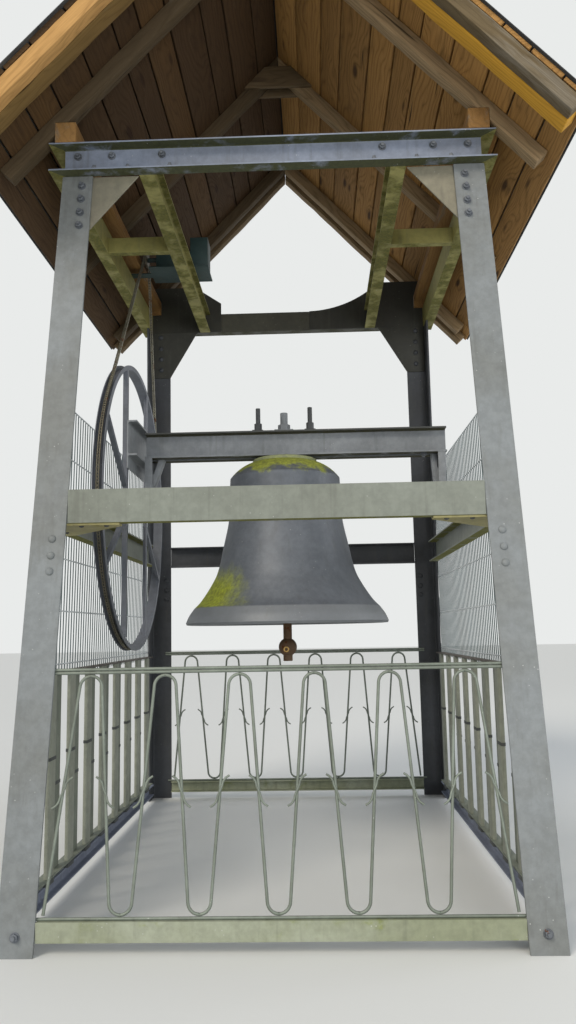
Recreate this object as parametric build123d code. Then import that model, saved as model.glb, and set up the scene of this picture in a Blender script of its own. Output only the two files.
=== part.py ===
from build123d import *
import math
import os

# Bell frame of riveted steel sections under a boarded gable roof, with a swinging
# bell on a cranked yoke. X runs along the swing axis, Y from front to back, Z up.
# All sizes are millimetres, measured from the centre of the leg square at ground level.

# Legs: equal angles that lean inwards
LEG_WIDTH = 160.0
LEG_THICK = 14.0
FOOT_X = 1175.0
FOOT_Y = 1717.0
HEAD_X = 1106.0
HEAD_Y = 1218.0
RING_Z = 3711.0

# Head ring: channels with the flanges outwards, mitred at the corners
RING_HEIGHT = 155.0
RING_FLANGE = 75.5
RING_WEB = 7.5
RING_LIP = 9.0
RING_X = 1163.0
RING_Y = 1286.0
INNER_BEAM_X = 661.5
INNER_BEAM_WIDTH = 81.0
INNER_BEAM_WEB = 6.0
INNER_BEAM_LIP = 8.0
TIE_HEIGHT = 100.0
TIE_FLANGE = 50.0
TIE_Y = -296.0
SMALL_WEB = 6.0
SMALL_LIP = 8.0

# Plates at the leg heads
PLATE_THICK = 10.0
GUSSET_BEAM_GAP = 4.0
GUSSET_DROP = 310.0
GUSSET_BEND = 20.0
REAR_PLATE_RISE = 226.0
REAR_PLATE_DEPTH = 360.0
REAR_PLATE_NOTCH_X = 740.0
REAR_CURVE_END_X = 180.0
REAR_CURVE_SAG = 60.0
REAR_STEP_X = 533.0
REAR_STEP_RISE = 86.0
REAR_PLATE_ROOF_GAP = 8.0
REAR_PLATE_NOTCH_GAP = 2.0

# Middle beams that carry the bell
MID_Z = 1835.0
MID_HEIGHT = 160.0
MID_FLANGE = 65.0
MID_WEB = 7.5
MID_LIP = 10.0
CORNER_PLATE_X = 735.0
CORNER_PLATE_Y = 1030.0
CORNER_PLATE_TIP = 60.0
CORNER_PLATE_INSET = 6.0

# Bottom beams
BASE_Z = 53.0
BASE_HEIGHT = 82.0
BASE_FLANGE = 45.0

# Bell, yoke and pivot
PIVOT_Z = 2115.0
BELL_TOP_Z = 2422.0
BELL_LIP_Z = 1372.0
BELL_LIP_R = 633.0
BELL_CREASE_R = 543.0
BELL_WAIST_R = 360.0
BELL_NECK_R = 350.0
BELL_NECK_DROP = 143.0
BELL_SHOULDER_BULGE = 11.0
BELL_CROWN_R = 207.0
BELL_CROWN_STEP = 14.0
BELL_WALL = 36.0
CROWN_THICK = 46.0
CROWN_INSIDE_R = 197.0
CROWN_INSIDE_BULGE = 9.0
# Flank: how far it stands out from the waist, at a height above the lip
BELL_FLANK = [(78.0, 326.0), (37.0, 492.0), (0.0, 645.0), (-5.0, 800.0)]
# Lip: how far each place lies inside the lip's radius, at a height above the lip
BELL_BOW = (28.0, 56.0)
BELL_CREASE_RISE = 137.0
BELL_LIP_EDGE = [(6.0, -12.0), (30.0, -14.0), (55.0, 8.0)]
BELL_SOUND_BOW = [(85.0, 56.0), (151.0, 137.0)]
YOKE_HEIGHT = 163.0
YOKE_FLANGE = 65.0
YOKE_WEB = 8.5
YOKE_LIP = 11.0
YOKE_GAP = 50.0
YOKE_LEFT_X = -889.0
YOKE_RIGHT_X = 1030.0
HANGER_X = 168.0
HANGER_R = 15.0
HANGER_RISE = 165.0
HANGER_TAIL = 14.0
HANGER_NUT_R = 25.0
HANGER_NUT_HEIGHT = 26.0
HANGER_PLATE_LENGTH = 70.0
STAPLE_R = 24.0
STAPLE_RISE = 130.0
STAPLE_NUT_R = 40.0
STAPLE_NUT_HEIGHT = 40.0
STAPLE_PLATE_LENGTH = 120.0
YOKE_PLATE_WIDTH = 120.0
YOKE_PLATE_THICK = 12.0
BOLT_CLEARANCE = 1.0
GUDGEON_R = 27.0
GUDGEON_CLEARANCE = 0.1
GUDGEON_COLLAR = 12.0
GUDGEON_BOSS_R = 46.0
CRANK_TOP_WIDTH = 180.0
CRANK_EYE_R = 75.0
CRANK_DEPTH = 48.0
CRANK_WALL = 12.0
CRANK_RIGHT_X = 1020.0
BRACE_LEFT_TOP = (29.0, 69.0)
BRACE_RIGHT_TOP = (0.0, 36.0)
BRACE_LEFT_FOOT = 0.0
BRACE_RIGHT_FOOT = 22.0
BRACE_DROP = 192.0
BRACE_FOOT_HEIGHT = 100.0
BRACE_THICK = 60.0
BEARING_WIDTH = 52.0
BEARING_LENGTH = 230.0
BEARING_BASE = 26.0
BEARING_R = 62.0

# Bell wheel on the left end of the yoke
WHEEL_X = -983.0
WHEEL_WIDTH = 60.0
WHEEL_R = 905.0
WHEEL_GROOVE = 24.0
WHEEL_WALL = 5.0
BAR_Y = 300.0
BAR_WIDTH = 40.0
BAR_DEPTH = 28.0
BAR_THICK = 5.0
BAR_LAP = 4.0
SPOKE_WIDTH = 30.0
SPOKE_RISE = 90.0
SPOKE_ANGLE = 28.0
CROSS_LENGTH = 660.0
CROSS_HEIGHT = 220.0
CROSS_FLANGE = 62.0
CROSS_STRIP_HEIGHT = 78.0

# Drive: geared motor on the head ring and a chain down to the wheel
SPROCKET_Y = 430.0
SPROCKET_RISE = 119.0
SPROCKET_R = 60.0
SPROCKET_THICK = 12.0
CHAIN_WIDTH = 18.0
CHAIN_DEPTH = 14.0
CHAIN_CLEARANCE = 6.0
CHAIN_SEAT = 0.2
MOTOR_PLATE_THICK = 10.0
MOTOR_PLATE_Y0 = 285.0
MOTOR_PLATE_Y1 = 560.0
MOTOR_PLATE_EDGE = 10.0
MOTOR_TONGUE = 70.0
MOTOR_TONGUE_OFFSET = 36.0
SHAFT_R = 16.0
SHAFT_END = 15.0
GEARBOX_OFFSET = 78.0
GEARBOX_LENGTH = 175.0
GEARBOX_HALF = 70.0
NECK_R = 58.0
NECK_LENGTH = 70.0
CASING_LENGTH = 125.0
CASING_HALF = 80.0
CASING_DROP = 95.0
CASING_RISE = 127.0

# Clapper
CLAPPER_PIVOT_Z = 2325.0
CLAPPER_ROD_R = 22.0
CLAPPER_BALL_R = 80.0
CLAPPER_BALL_Z = 1470.0
CLAPPER_KNOB_R = 57.0
CLAPPER_KNOB_Z = 1217.0
CLAPPER_TIP_Z = 1131.0
CLAPPER_FLIGHT_R = 27.0
CLAPPER_TIP_R = 15.0
CLAPPER_PIN_R = 14.0
CLAPPER_EYE_R = 24.0
CLAPPER_EYE_WIDTH = 56.0
FORK_WIDTH = 90.0
FORK_DEPTH = 60.0
FORK_ARM = 16.0
FORK_RISE = 25.0
FORK_DROP = 28.0

# Railings front and rear
RAIL_Z = 1159.0
RAIL_STEP = 14.3
RAIL_LAP = 25.0
RAIL_SEAT = 0.3
RAIL_R = 7.0
ROD_R = 7.0
ROD_SIDES = 6
ROD_END_GAP = 12.0
ARCH_PITCH = 332.0
ARCH_COUNT = 6
ARCH_R = 45.0
ARCH_BEND_R = 40.5

# Side fences: two staggered rows of slats with a strip between them
SLAT_WIDTH = 100.0
SLAT_THICK = 20.0
SLAT_PITCH = 340.0
SLAT_TOP_Z = 1130.0
SLAT_INNER_X = 1118.0
SLAT_SHIFT = -45.0
STRIP_THICK = 8.0
STRIP_HEIGHT = 60.0
STRIP_TOP_Z = 1160.0

# Wire mesh on the outside of the legs, above the side fences
WIRE = 8.0
MESH_Z0 = 1162.0
MESH_ROW_PITCH = 274.0
MESH_ROWS = 6
MESH_COLUMN_PITCH = 200.0

# Roof
ROOF_PITCH = 46.5
EAVE_X = 1450.0
ROOF_FRONT_Y = -1780.0
ROOF_REAR_Y = 1455.0
BOARD_THICK = 24.0
FELT_THICK = 5.0
FELT_OVERHANG = 20.0
RAFTER_DEPTH = 80.0
RAFTER_WIDTH = 80.0
RAFTER_FOOT_X = 1417.0
RAFTER_GAP = 1.0
VERGE_INNER_WIDTH = 110.0
WALL_PLATE_X0 = 1020.0
WALL_PLATE_X1 = 1130.0
WALL_PLATE_HEIGHT = 66.0
PACKER_HEIGHT = 44.0
PACKER_LENGTH = 110.0
RAFTER_HEEL = 48.0
COLLAR_HALF = 230.0
COLLAR_HEIGHT = 150.0
COLLAR_THICK = 28.0

SLOPE = math.tan(math.radians(ROOF_PITCH))
ROOF_NORMAL = (math.sin(math.radians(ROOF_PITCH)), math.cos(math.radians(ROOF_PITCH)))
RING_TOP = RING_Z + RING_HEIGHT
GUSSET_REACH_X = INNER_BEAM_X + INNER_BEAM_WIDTH / 2 + GUSSET_BEAM_GAP
REAR_PLATE_TOP = RING_TOP + REAR_PLATE_RISE
SPROCKET_Z = RING_TOP + SPROCKET_RISE
WALL_PLATE_Z0 = RING_TOP + PACKER_HEIGHT
WALL_PLATE_Z1 = WALL_PLATE_Z0 + WALL_PLATE_HEIGHT
ROOF_APEX_Z = WALL_PLATE_Z1 + RAFTER_HEEL + WALL_PLATE_X1 * SLOPE
MID_TOP = MID_Z + MID_HEIGHT
BASE_TOP = BASE_Z + BASE_HEIGHT
RAIL_LOW_Z = BASE_TOP + RAIL_SEAT + RAIL_R
RING_INNER_X = RING_X - RING_FLANGE
RING_INNER_Y = RING_Y - RING_FLANGE
RAFTER_Y = RING_INNER_Y + RAFTER_GAP + RAFTER_WIDTH / 2
YOKE_TOP = BELL_TOP_Z + YOKE_HEIGHT
CROWN_UNDER_Z = BELL_TOP_Z - CROWN_THICK
CROSS_BACK_X = YOKE_LEFT_X - CROSS_FLANGE
CROSS_Z = BELL_TOP_Z + (YOKE_HEIGHT - CROSS_HEIGHT) / 2
ROD_FLAT_R = ROD_R * math.cos(math.pi / ROD_SIDES)
WHEEL_FLOOR_R = WHEEL_R - WHEEL_GROOVE
CHAIN_R = WHEEL_FLOOR_R + CHAIN_CLEARANCE + CHAIN_DEPTH / 2

# The origin sits under the middle of the whole outline, and the roof reaches further
# forward than the rear feet reach back, so every piece is set back by half of that.
SET_BACK = (-ROOF_FRONT_Y + FELT_OVERHANG - FOOT_Y) / 2


def leg_x(z):
    """Outer face of a leg at height z, along X."""
    return FOOT_X + (HEAD_X - FOOT_X) * z / RING_Z


def leg_y(z):
    """Outer face of a leg at height z, along Y."""
    return FOOT_Y + (HEAD_Y - FOOT_Y) * z / RING_Z


def prism(points, run):
    """Solid with a flat outline through the space points, pushed along the run."""
    outline = make_face(Polyline(*points, close=True))
    direction = Vector(*run)
    return extrude(outline, amount=direction.length, dir=direction)


def block(x0, x1, y0, y1, z0, z1):
    """Rectangular piece between two corners."""
    centre = Pos((x0 + x1) / 2, (y0 + y1) / 2, (z0 + z1) / 2)
    return centre * Box(abs(x1 - x0), abs(y1 - y0), abs(z1 - z0))


def channel_outline(height, flange, web, lip):
    """Outline of a channel: back of the web at 0, flanges towards plus."""
    return [
        (0, 0),
        (flange, 0),
        (flange, lip),
        (web, lip),
        (web, height - lip),
        (flange, height - lip),
        (flange, height),
        (0, height),
    ]


def beam_outline(height, width, web, lip):
    """Outline of a rolled beam, centred on its web."""
    half = width / 2
    return [
        (-half, 0),
        (half, 0),
        (half, lip),
        (web / 2, lip),
        (web / 2, height - lip),
        (half, height - lip),
        (half, height),
        (-half, height),
        (-half, height - lip),
        (-web / 2, height - lip),
        (-web / 2, lip),
        (-half, lip),
    ]


def along_x(outline, x0, x1, y, z, out):
    """Rolled section along X. The outline's flanges point to out, plus or minus Y."""
    return prism([(x0, y + out * a, z + b) for a, b in outline], (x1 - x0, 0, 0))


def along_y(outline, y0, y1, x, z, out):
    """Rolled section along Y. The outline's flanges point to out, plus or minus X."""
    return prism([(x + out * a, y0, z + b) for a, b in outline], (0, y1 - y0, 0))


def leg(side, end):
    """Leaning angle with its corner at the outer corner of the frame."""
    outline = [
        (0, 0),
        (LEG_WIDTH, 0),
        (LEG_WIDTH, LEG_THICK),
        (LEG_THICK, LEG_THICK),
        (LEG_THICK, LEG_WIDTH),
        (0, LEG_WIDTH),
    ]
    points = [(side * (FOOT_X - a), end * (FOOT_Y - b), 0) for a, b in outline]
    return prism(points, (side * (HEAD_X - FOOT_X), end * (HEAD_Y - FOOT_Y), RING_Z))


def ring_beam_x(end):
    """Head channel across the front or the rear, mitred at both ends."""
    outline = channel_outline(RING_HEIGHT, RING_FLANGE, RING_WEB, RING_LIP)
    bar = along_x(outline, -RING_X, RING_X, end * RING_INNER_Y, RING_Z, end)
    mitre = [
        (-RING_X, end * RING_Y, RING_Z),
        (RING_X, end * RING_Y, RING_Z),
        (RING_INNER_X, end * RING_INNER_Y, RING_Z),
        (-RING_INNER_X, end * RING_INNER_Y, RING_Z),
    ]
    return bar & prism(mitre, (0, 0, RING_HEIGHT))


def ring_beam_y(side):
    """Head channel along one side, mitred at both ends."""
    outline = channel_outline(RING_HEIGHT, RING_FLANGE, RING_WEB, RING_LIP)
    bar = along_y(outline, -RING_Y, RING_Y, side * RING_INNER_X, RING_Z, side)
    mitre = [
        (side * RING_X, -RING_Y, RING_Z),
        (side * RING_X, RING_Y, RING_Z),
        (side * RING_INNER_X, RING_INNER_Y, RING_Z),
        (side * RING_INNER_X, -RING_INNER_Y, RING_Z),
    ]
    return bar & prism(mitre, (0, 0, RING_HEIGHT))


def inner_beam(side):
    """Beam along Y inside the head ring, between the front web and the rear plates."""
    outline = beam_outline(RING_HEIGHT, INNER_BEAM_WIDTH, INNER_BEAM_WEB, INNER_BEAM_LIP)
    rear = RING_INNER_Y - PLATE_THICK
    return along_y(outline, -RING_INNER_Y, rear, side * INNER_BEAM_X, RING_Z, side)


def cross_tie(side):
    """Short channel from an inner beam to the side of the head ring."""
    outline = channel_outline(TIE_HEIGHT, TIE_FLANGE, SMALL_WEB, SMALL_LIP)
    inside = side * (INNER_BEAM_X + INNER_BEAM_WIDTH / 2)
    return along_x(outline, inside, side * RING_INNER_X, TIE_Y, RING_Z, 1)


def leaning_plate(points, end, thick):
    """Plate behind a front or rear leg face, from (x, z) points, inwards from the leg."""
    inner = [(x, end * (leg_y(z) - LEG_THICK), z) for x, z in points]
    return prism(inner, (0, -end * thick, 0))


def front_gussets():
    """Triangular plates between the front leg heads and the head ring."""
    low = RING_Z - GUSSET_DROP
    plates = []
    for side in (-1, 1):
        points = [
            (side * GUSSET_REACH_X, RING_Z),
            (side * (HEAD_X - LEG_THICK), RING_Z),
            (side * (HEAD_X - LEG_THICK), low),
            (side * (leg_x(low) - LEG_WIDTH), low),
        ]
        plates.append(leaning_plate(points, -1, PLATE_THICK))
    return Compound(plates)


def roof_z(x):
    """Underside of the roof boards at a distance from the ridge."""
    return ROOF_APEX_Z - abs(x) * SLOPE


def rear_upper_outline(side):
    """Edge of the upright rear head plate: swept down in a curve on the right side."""
    outer_x = RING_INNER_X
    outer = (side * outer_x, roof_z(outer_x) - REAR_PLATE_ROOF_GAP)
    corner_x = (ROOF_APEX_Z - REAR_PLATE_ROOF_GAP - REAR_PLATE_TOP) / SLOPE
    corner = (side * min(corner_x, outer_x), REAR_PLATE_TOP)
    notch = (side * REAR_PLATE_NOTCH_X, REAR_PLATE_TOP)
    foot = (side * outer_x, RING_Z)
    if side < 0:
        step_top = (side * REAR_STEP_X, RING_TOP + REAR_STEP_RISE)
        step_foot = (side * REAR_STEP_X, RING_Z)
        return Polyline(corner, notch, step_top, step_foot, foot, outer, corner)
    end = (side * REAR_CURVE_END_X, RING_TOP)
    middle = ((notch[0] + end[0]) / 2, (notch[1] + end[1]) / 2 - REAR_CURVE_SAG)
    base = (side * REAR_CURVE_END_X, RING_Z)
    curve = ThreePointArc(notch, middle, end)
    rest = Polyline(end, base, foot, outer, corner)
    return Curve() + [Line(corner, notch), curve, rest]


def rear_head_plates():
    """Head plates inside the rear of the ring, bent to follow the leaning legs."""
    plates = []
    low = RING_Z - REAR_PLATE_DEPTH
    plane = Plane(origin=(0, RING_INNER_Y, 0), x_dir=(1, 0, 0), z_dir=(0, -1, 0))
    for side in (-1, 1):
        upper = extrude(plane * make_face(rear_upper_outline(side)), amount=PLATE_THICK)
        upper -= block(
            side * (WALL_PLATE_X0 - REAR_PLATE_NOTCH_GAP), side * RING_X,
            RING_INNER_Y - PLATE_THICK, RING_INNER_Y,
            RING_TOP, WALL_PLATE_Z1 + REAR_PLATE_NOTCH_GAP,
        )
        points = [
            (side * (GUSSET_REACH_X + GUSSET_BEND), RING_Z),
            (side * (HEAD_X - LEG_THICK), RING_Z),
            (side * (HEAD_X - LEG_THICK), low),
            (side * (leg_x(low) - LEG_WIDTH), low),
        ]
        top = HEAD_Y - LEG_THICK
        lower = leaning_plate(points, 1, PLATE_THICK)
        bend = block(
            side * (GUSSET_REACH_X + GUSSET_BEND), side * (HEAD_X - LEG_THICK),
            RING_INNER_Y - PLATE_THICK, top, RING_Z - PLATE_THICK, RING_Z,
        )
        plates.append(upper + lower + bend)
    return Compound(plates)


def mid_beam_x(end):
    """Channel across the front or the rear at bell height, flat side outwards."""
    outline = channel_outline(MID_HEIGHT, MID_FLANGE, MID_WEB, MID_LIP)
    reach = leg_x(MID_TOP) - LEG_WIDTH
    middle = leg_y((MID_Z + MID_TOP) / 2)
    return along_x(outline, -reach, reach, end * middle, MID_Z, -end)


def mid_beam_y(side):
    """Channel along one side at bell height, which carries a bearing."""
    outline = channel_outline(MID_HEIGHT, MID_FLANGE, MID_WEB, MID_LIP)
    reach = leg_y(MID_TOP) - LEG_WIDTH
    return along_y(outline, -reach, reach, side * leg_x(MID_TOP), MID_Z, -side)


def corner_plates(end):
    """Flat plates under the ends of a middle beam, one to each side beam."""
    back = leg_y(MID_Z) - LEG_THICK - CORNER_PLATE_INSET
    plates = []
    for side in (-1, 1):
        outer = leg_x(MID_Z) - LEG_THICK - CORNER_PLATE_INSET
        tip = outer - CORNER_PLATE_TIP
        points = [
            (side * outer, end * back, MID_Z),
            (side * CORNER_PLATE_X, end * back, MID_Z),
            (side * CORNER_PLATE_X, end * (back - CORNER_PLATE_TIP), MID_Z),
            (side * tip, end * CORNER_PLATE_Y, MID_Z),
            (side * outer, end * CORNER_PLATE_Y, MID_Z),
        ]
        plates.append(prism(points, (0, 0, -PLATE_THICK)))
    return Compound(plates)


def base_beam_x(end):
    """Low channel between two feet, across the front or the rear."""
    outline = channel_outline(BASE_HEIGHT, BASE_FLANGE, SMALL_WEB, SMALL_LIP)
    reach = leg_x(BASE_TOP) - LEG_WIDTH
    return along_x(outline, -reach, reach, end * leg_y(BASE_TOP), BASE_Z, -end)


def base_beam_y(side):
    """Low channel between two feet, along one side."""
    outline = channel_outline(BASE_HEIGHT, BASE_FLANGE, SMALL_WEB, SMALL_LIP)
    reach = leg_y(BASE_TOP) - LEG_WIDTH
    return along_y(outline, -reach, reach, side * leg_x(BASE_TOP), BASE_Z, -side)


def bearing_x(side):
    """Middle of a bearing along X: over the flange of the side beam."""
    return side * (leg_x(MID_TOP) - MID_FLANGE / 2)


def bearing(side):
    """Pillow block on a side beam, with the bore for the gudgeon."""
    x = bearing_x(side)
    half = BEARING_WIDTH / 2
    base = block(x - half, x + half, -BEARING_LENGTH / 2, BEARING_LENGTH / 2,
                 MID_TOP, MID_TOP + BEARING_BASE)
    body = block(x - half, x + half, -BEARING_R, BEARING_R, MID_TOP, PIVOT_Z)
    barrel = Pos(x, 0, PIVOT_Z) * Rot(0, 90, 0) * Cylinder(BEARING_R, BEARING_WIDTH)
    bore = Cylinder(GUDGEON_R + GUDGEON_CLEARANCE, BEARING_WIDTH * 2)
    return base + body + barrel - Pos(x, 0, PIVOT_Z) * Rot(0, 90, 0) * bore


def crank_outline(inset):
    """Outline of a crank seen along X: wide under the yoke, round at the swing axis."""
    half = CRANK_TOP_WIDTH / 2 - inset
    eye_r = CRANK_EYE_R - inset
    arm = make_face(Polyline(
        (-half, BELL_TOP_Z), (half, BELL_TOP_Z), (eye_r, PIVOT_Z), (-eye_r, PIVOT_Z), close=True,
    ))
    return arm + Pos(0, PIVOT_Z) * Circle(eye_r)


def crank(side, outer, brace_top, brace_foot):
    """Open-backed arm from the yoke down to the swing axis, with its brace and gudgeon."""
    inner = outer - side * CRANK_DEPTH
    web = outer - side * CRANK_WALL
    across = Plane(origin=(inner, 0, 0), x_dir=(0, 1, 0), z_dir=(1, 0, 0))
    arm = extrude(across * crank_outline(0), amount=side * CRANK_DEPTH)
    arm -= extrude(across * crank_outline(CRANK_WALL), amount=side * (CRANK_DEPTH - CRANK_WALL))
    low = BELL_TOP_Z - BRACE_DROP
    high = low + BRACE_FOOT_HEIGHT
    y = -BRACE_THICK / 2
    brace = prism([
        (web, y, low),
        (inner - side * brace_foot, y, low),
        (inner - side * brace_top[1], y, BELL_TOP_Z),
        (inner - side * brace_top[0], y, BELL_TOP_Z),
        (inner, y, high),
        (web, y, high),
    ], (0, BRACE_THICK, 0))
    end = bearing_x(side) + side * BEARING_WIDTH / 2
    boss = axle(inner, outer + side * GUDGEON_COLLAR, GUDGEON_BOSS_R)
    return arm + brace + boss + axle(inner, end, GUDGEON_R)


def axle(x0, x1, radius):
    """Round bar on the swing axis between two places along X."""
    return Pos((x0 + x1) / 2, 0, PIVOT_Z) * Rot(0, 90, 0) * Cylinder(radius, abs(x1 - x0))


def yoke_channels():
    """Two channels back to back over the bell, flanges outwards."""
    outline = channel_outline(YOKE_HEIGHT, YOKE_FLANGE, YOKE_WEB, YOKE_LIP)
    front = along_x(outline, YOKE_LEFT_X, YOKE_RIGHT_X, -YOKE_GAP / 2, BELL_TOP_Z, -1)
    rear = along_x(outline, YOKE_LEFT_X, YOKE_RIGHT_X, YOKE_GAP / 2, BELL_TOP_Z, 1)
    return Compound([front, rear])


def yoke_cross_channel():
    """Channel across the left end of the yoke, with a strip below its web."""
    outline = channel_outline(CROSS_HEIGHT, CROSS_FLANGE, YOKE_WEB, YOKE_LIP)
    half = CROSS_LENGTH / 2
    bar = along_y(outline, -half, half, CROSS_BACK_X, CROSS_Z, 1)
    strip = block(CROSS_BACK_X, CROSS_BACK_X + YOKE_WEB, -half, half,
                  CROSS_Z - CROSS_STRIP_HEIGHT, CROSS_Z)
    return bar + strip


def bell():
    """Bell turned about Z: stepped crown, sloping shoulder, waist and flared lip."""
    z = BELL_LIP_Z
    lip = (BELL_LIP_R, z)
    crease = (BELL_CREASE_R, z + BELL_CREASE_RISE)
    bow = (BELL_LIP_R - BELL_BOW[0], z + BELL_BOW[1])
    flank = [(BELL_WAIST_R + out, z + rise) for out, rise in BELL_FLANK]
    neck = (BELL_NECK_R, BELL_TOP_Z - BELL_NECK_DROP)
    shoulder = (BELL_CROWN_R, BELL_TOP_Z - BELL_CROWN_STEP)
    edge = [(BELL_LIP_R - inside, z + rise) for inside, rise in BELL_LIP_EDGE]
    sound_bow = [(BELL_LIP_R - inside, z + rise) for inside, rise in BELL_SOUND_BOW]
    inner_flank = [(radius - BELL_WALL, height) for radius, height in flank]
    inner_neck = (neck[0] - BELL_WALL * 0.8, neck[1] - BELL_WALL * 0.8)
    inner_crown = (CROWN_INSIDE_R, CROWN_UNDER_Z)
    outline = Curve() + [
        Polyline((0, CROWN_UNDER_Z), (0, BELL_TOP_Z), (BELL_CROWN_R, BELL_TOP_Z), shoulder),
        SagittaArc(shoulder, neck, BELL_SHOULDER_BULGE),
        Spline(neck, *reversed(flank), crease),
        Spline(crease, bow, lip),
        Polyline(lip, *edge),
        Spline(edge[-1], *sound_bow, *inner_flank, inner_neck),
        SagittaArc(inner_neck, inner_crown, -CROWN_INSIDE_BULGE),
        Line(inner_crown, (0, CROWN_UNDER_Z)),
    ]
    body = revolve(Plane.XZ * make_face(outline), axis=Axis.Z)
    middle = BELL_TOP_Z - CROWN_THICK / 2
    for x, radius in ((-HANGER_X, HANGER_R), (0, STAPLE_R), (HANGER_X, HANGER_R)):
        hole = Cylinder(radius + BOLT_CLEARANCE, CROWN_THICK * 2)
        body -= Pos(x, 0, middle) * hole
    return body


def hex_nut(x, z, radius, height):
    """Hexagon nut standing on height z."""
    return extrude(Pos(x, 0, z) * RegularPolygon(radius, 6), amount=height)


def yoke_plate(x, length):
    """Plate across both yoke channels, under a nut."""
    half = YOKE_PLATE_WIDTH / 2
    top = YOKE_TOP + YOKE_PLATE_THICK
    return block(x - length / 2, x + length / 2, -half, half, YOKE_TOP, top)


def hanger_bolts():
    """Two bolts through the crown, nutted under it and locked over the yoke."""
    low = CROWN_UNDER_Z - HANGER_NUT_HEIGHT - HANGER_TAIL
    high = YOKE_TOP + HANGER_RISE
    bolts = []
    for x in (-HANGER_X, HANGER_X):
        rod = Pos(x, 0, (low + high) / 2) * Cylinder(HANGER_R, high - low)
        nut = hex_nut(x, CROWN_UNDER_Z - HANGER_NUT_HEIGHT, HANGER_NUT_R, HANGER_NUT_HEIGHT)
        plate = yoke_plate(x, HANGER_PLATE_LENGTH)
        top_nut = hex_nut(x, YOKE_TOP + YOKE_PLATE_THICK, HANGER_NUT_R, 2 * HANGER_NUT_HEIGHT)
        bolts.append(rod + nut + plate + top_nut)
    return Compound(bolts)


def clapper_staple():
    """Central bolt with the fork that holds the clapper."""
    high = YOKE_TOP + STAPLE_RISE
    low = CLAPPER_PIVOT_Z + FORK_RISE
    rod = Pos(0, 0, (low + high) / 2) * Cylinder(STAPLE_R, high - low)
    plate = yoke_plate(0, STAPLE_PLATE_LENGTH)
    nut = hex_nut(0, YOKE_TOP + YOKE_PLATE_THICK, STAPLE_NUT_R, STAPLE_NUT_HEIGHT)
    half = FORK_WIDTH / 2
    deep = FORK_DEPTH / 2
    head = block(-half, half, -deep, deep, low, CROWN_UNDER_Z)
    body = rod + plate + nut + head
    for side in (-1, 1):
        body += block(side * (half - FORK_ARM), side * half, -deep, deep,
                      CLAPPER_PIVOT_Z - FORK_DROP, low)
    pin = Pos(0, 0, CLAPPER_PIVOT_Z) * Rot(0, 90, 0) * Cylinder(CLAPPER_PIN_R, FORK_WIDTH)
    return body + pin


def clapper():
    """Clapper turned in one piece: rod, ball, flight, knob and tip, with a drilled eye."""
    eye = Pos(0, 0, CLAPPER_PIVOT_Z) * Rot(0, 90, 0) * Cylinder(CLAPPER_EYE_R, CLAPPER_EYE_WIDTH)
    top = CLAPPER_PIVOT_Z
    rod = Pos(0, 0, (top + CLAPPER_BALL_Z) / 2) * Cylinder(CLAPPER_ROD_R, top - CLAPPER_BALL_Z)
    flight = Pos(0, 0, (CLAPPER_BALL_Z + CLAPPER_KNOB_Z) / 2) * Cylinder(
        CLAPPER_FLIGHT_R, CLAPPER_BALL_Z - CLAPPER_KNOB_Z)
    ball = Pos(0, 0, CLAPPER_BALL_Z) * Sphere(CLAPPER_BALL_R)
    knob = Pos(0, 0, CLAPPER_KNOB_Z) * Sphere(CLAPPER_KNOB_R)
    tip = Pos(0, 0, (CLAPPER_KNOB_Z + CLAPPER_TIP_Z) / 2) * Cylinder(
        CLAPPER_TIP_R, CLAPPER_KNOB_Z - CLAPPER_TIP_Z)
    bore = Pos(0, 0, CLAPPER_PIVOT_Z) * Rot(0, 90, 0) * Cylinder(
        CLAPPER_PIN_R + GUDGEON_CLEARANCE, CLAPPER_EYE_WIDTH * 2)
    return eye + rod + flight + ball + knob + tip - bore


def wheel_angle(start, stop, width, inside):
    """Angle bar on the wheel between two (y, z) points, one leg flat, one leg along X."""
    run = Vector(0, stop[0] - start[0], stop[1] - start[1])
    across = Vector(1, 0, 0).cross(run).normalized() * (width / 2)
    if across.Y * inside < 0:
        across = across * -1
    near = Vector(0, *start) + across
    far = Vector(0, *start) - across
    lip = near - across.normalized() * BAR_THICK
    x1 = CROSS_BACK_X
    x0 = x1 - BAR_THICK
    flat = prism([(x0, p.Y, p.Z) for p in (near, far)] + [(x1, p.Y, p.Z) for p in (far, near)],
                 tuple(run))
    edge = prism([(x1 - BAR_DEPTH, p.Y, p.Z) for p in (near, lip)]
                 + [(x1, p.Y, p.Z) for p in (lip, near)], tuple(run))
    return flat + edge


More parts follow.
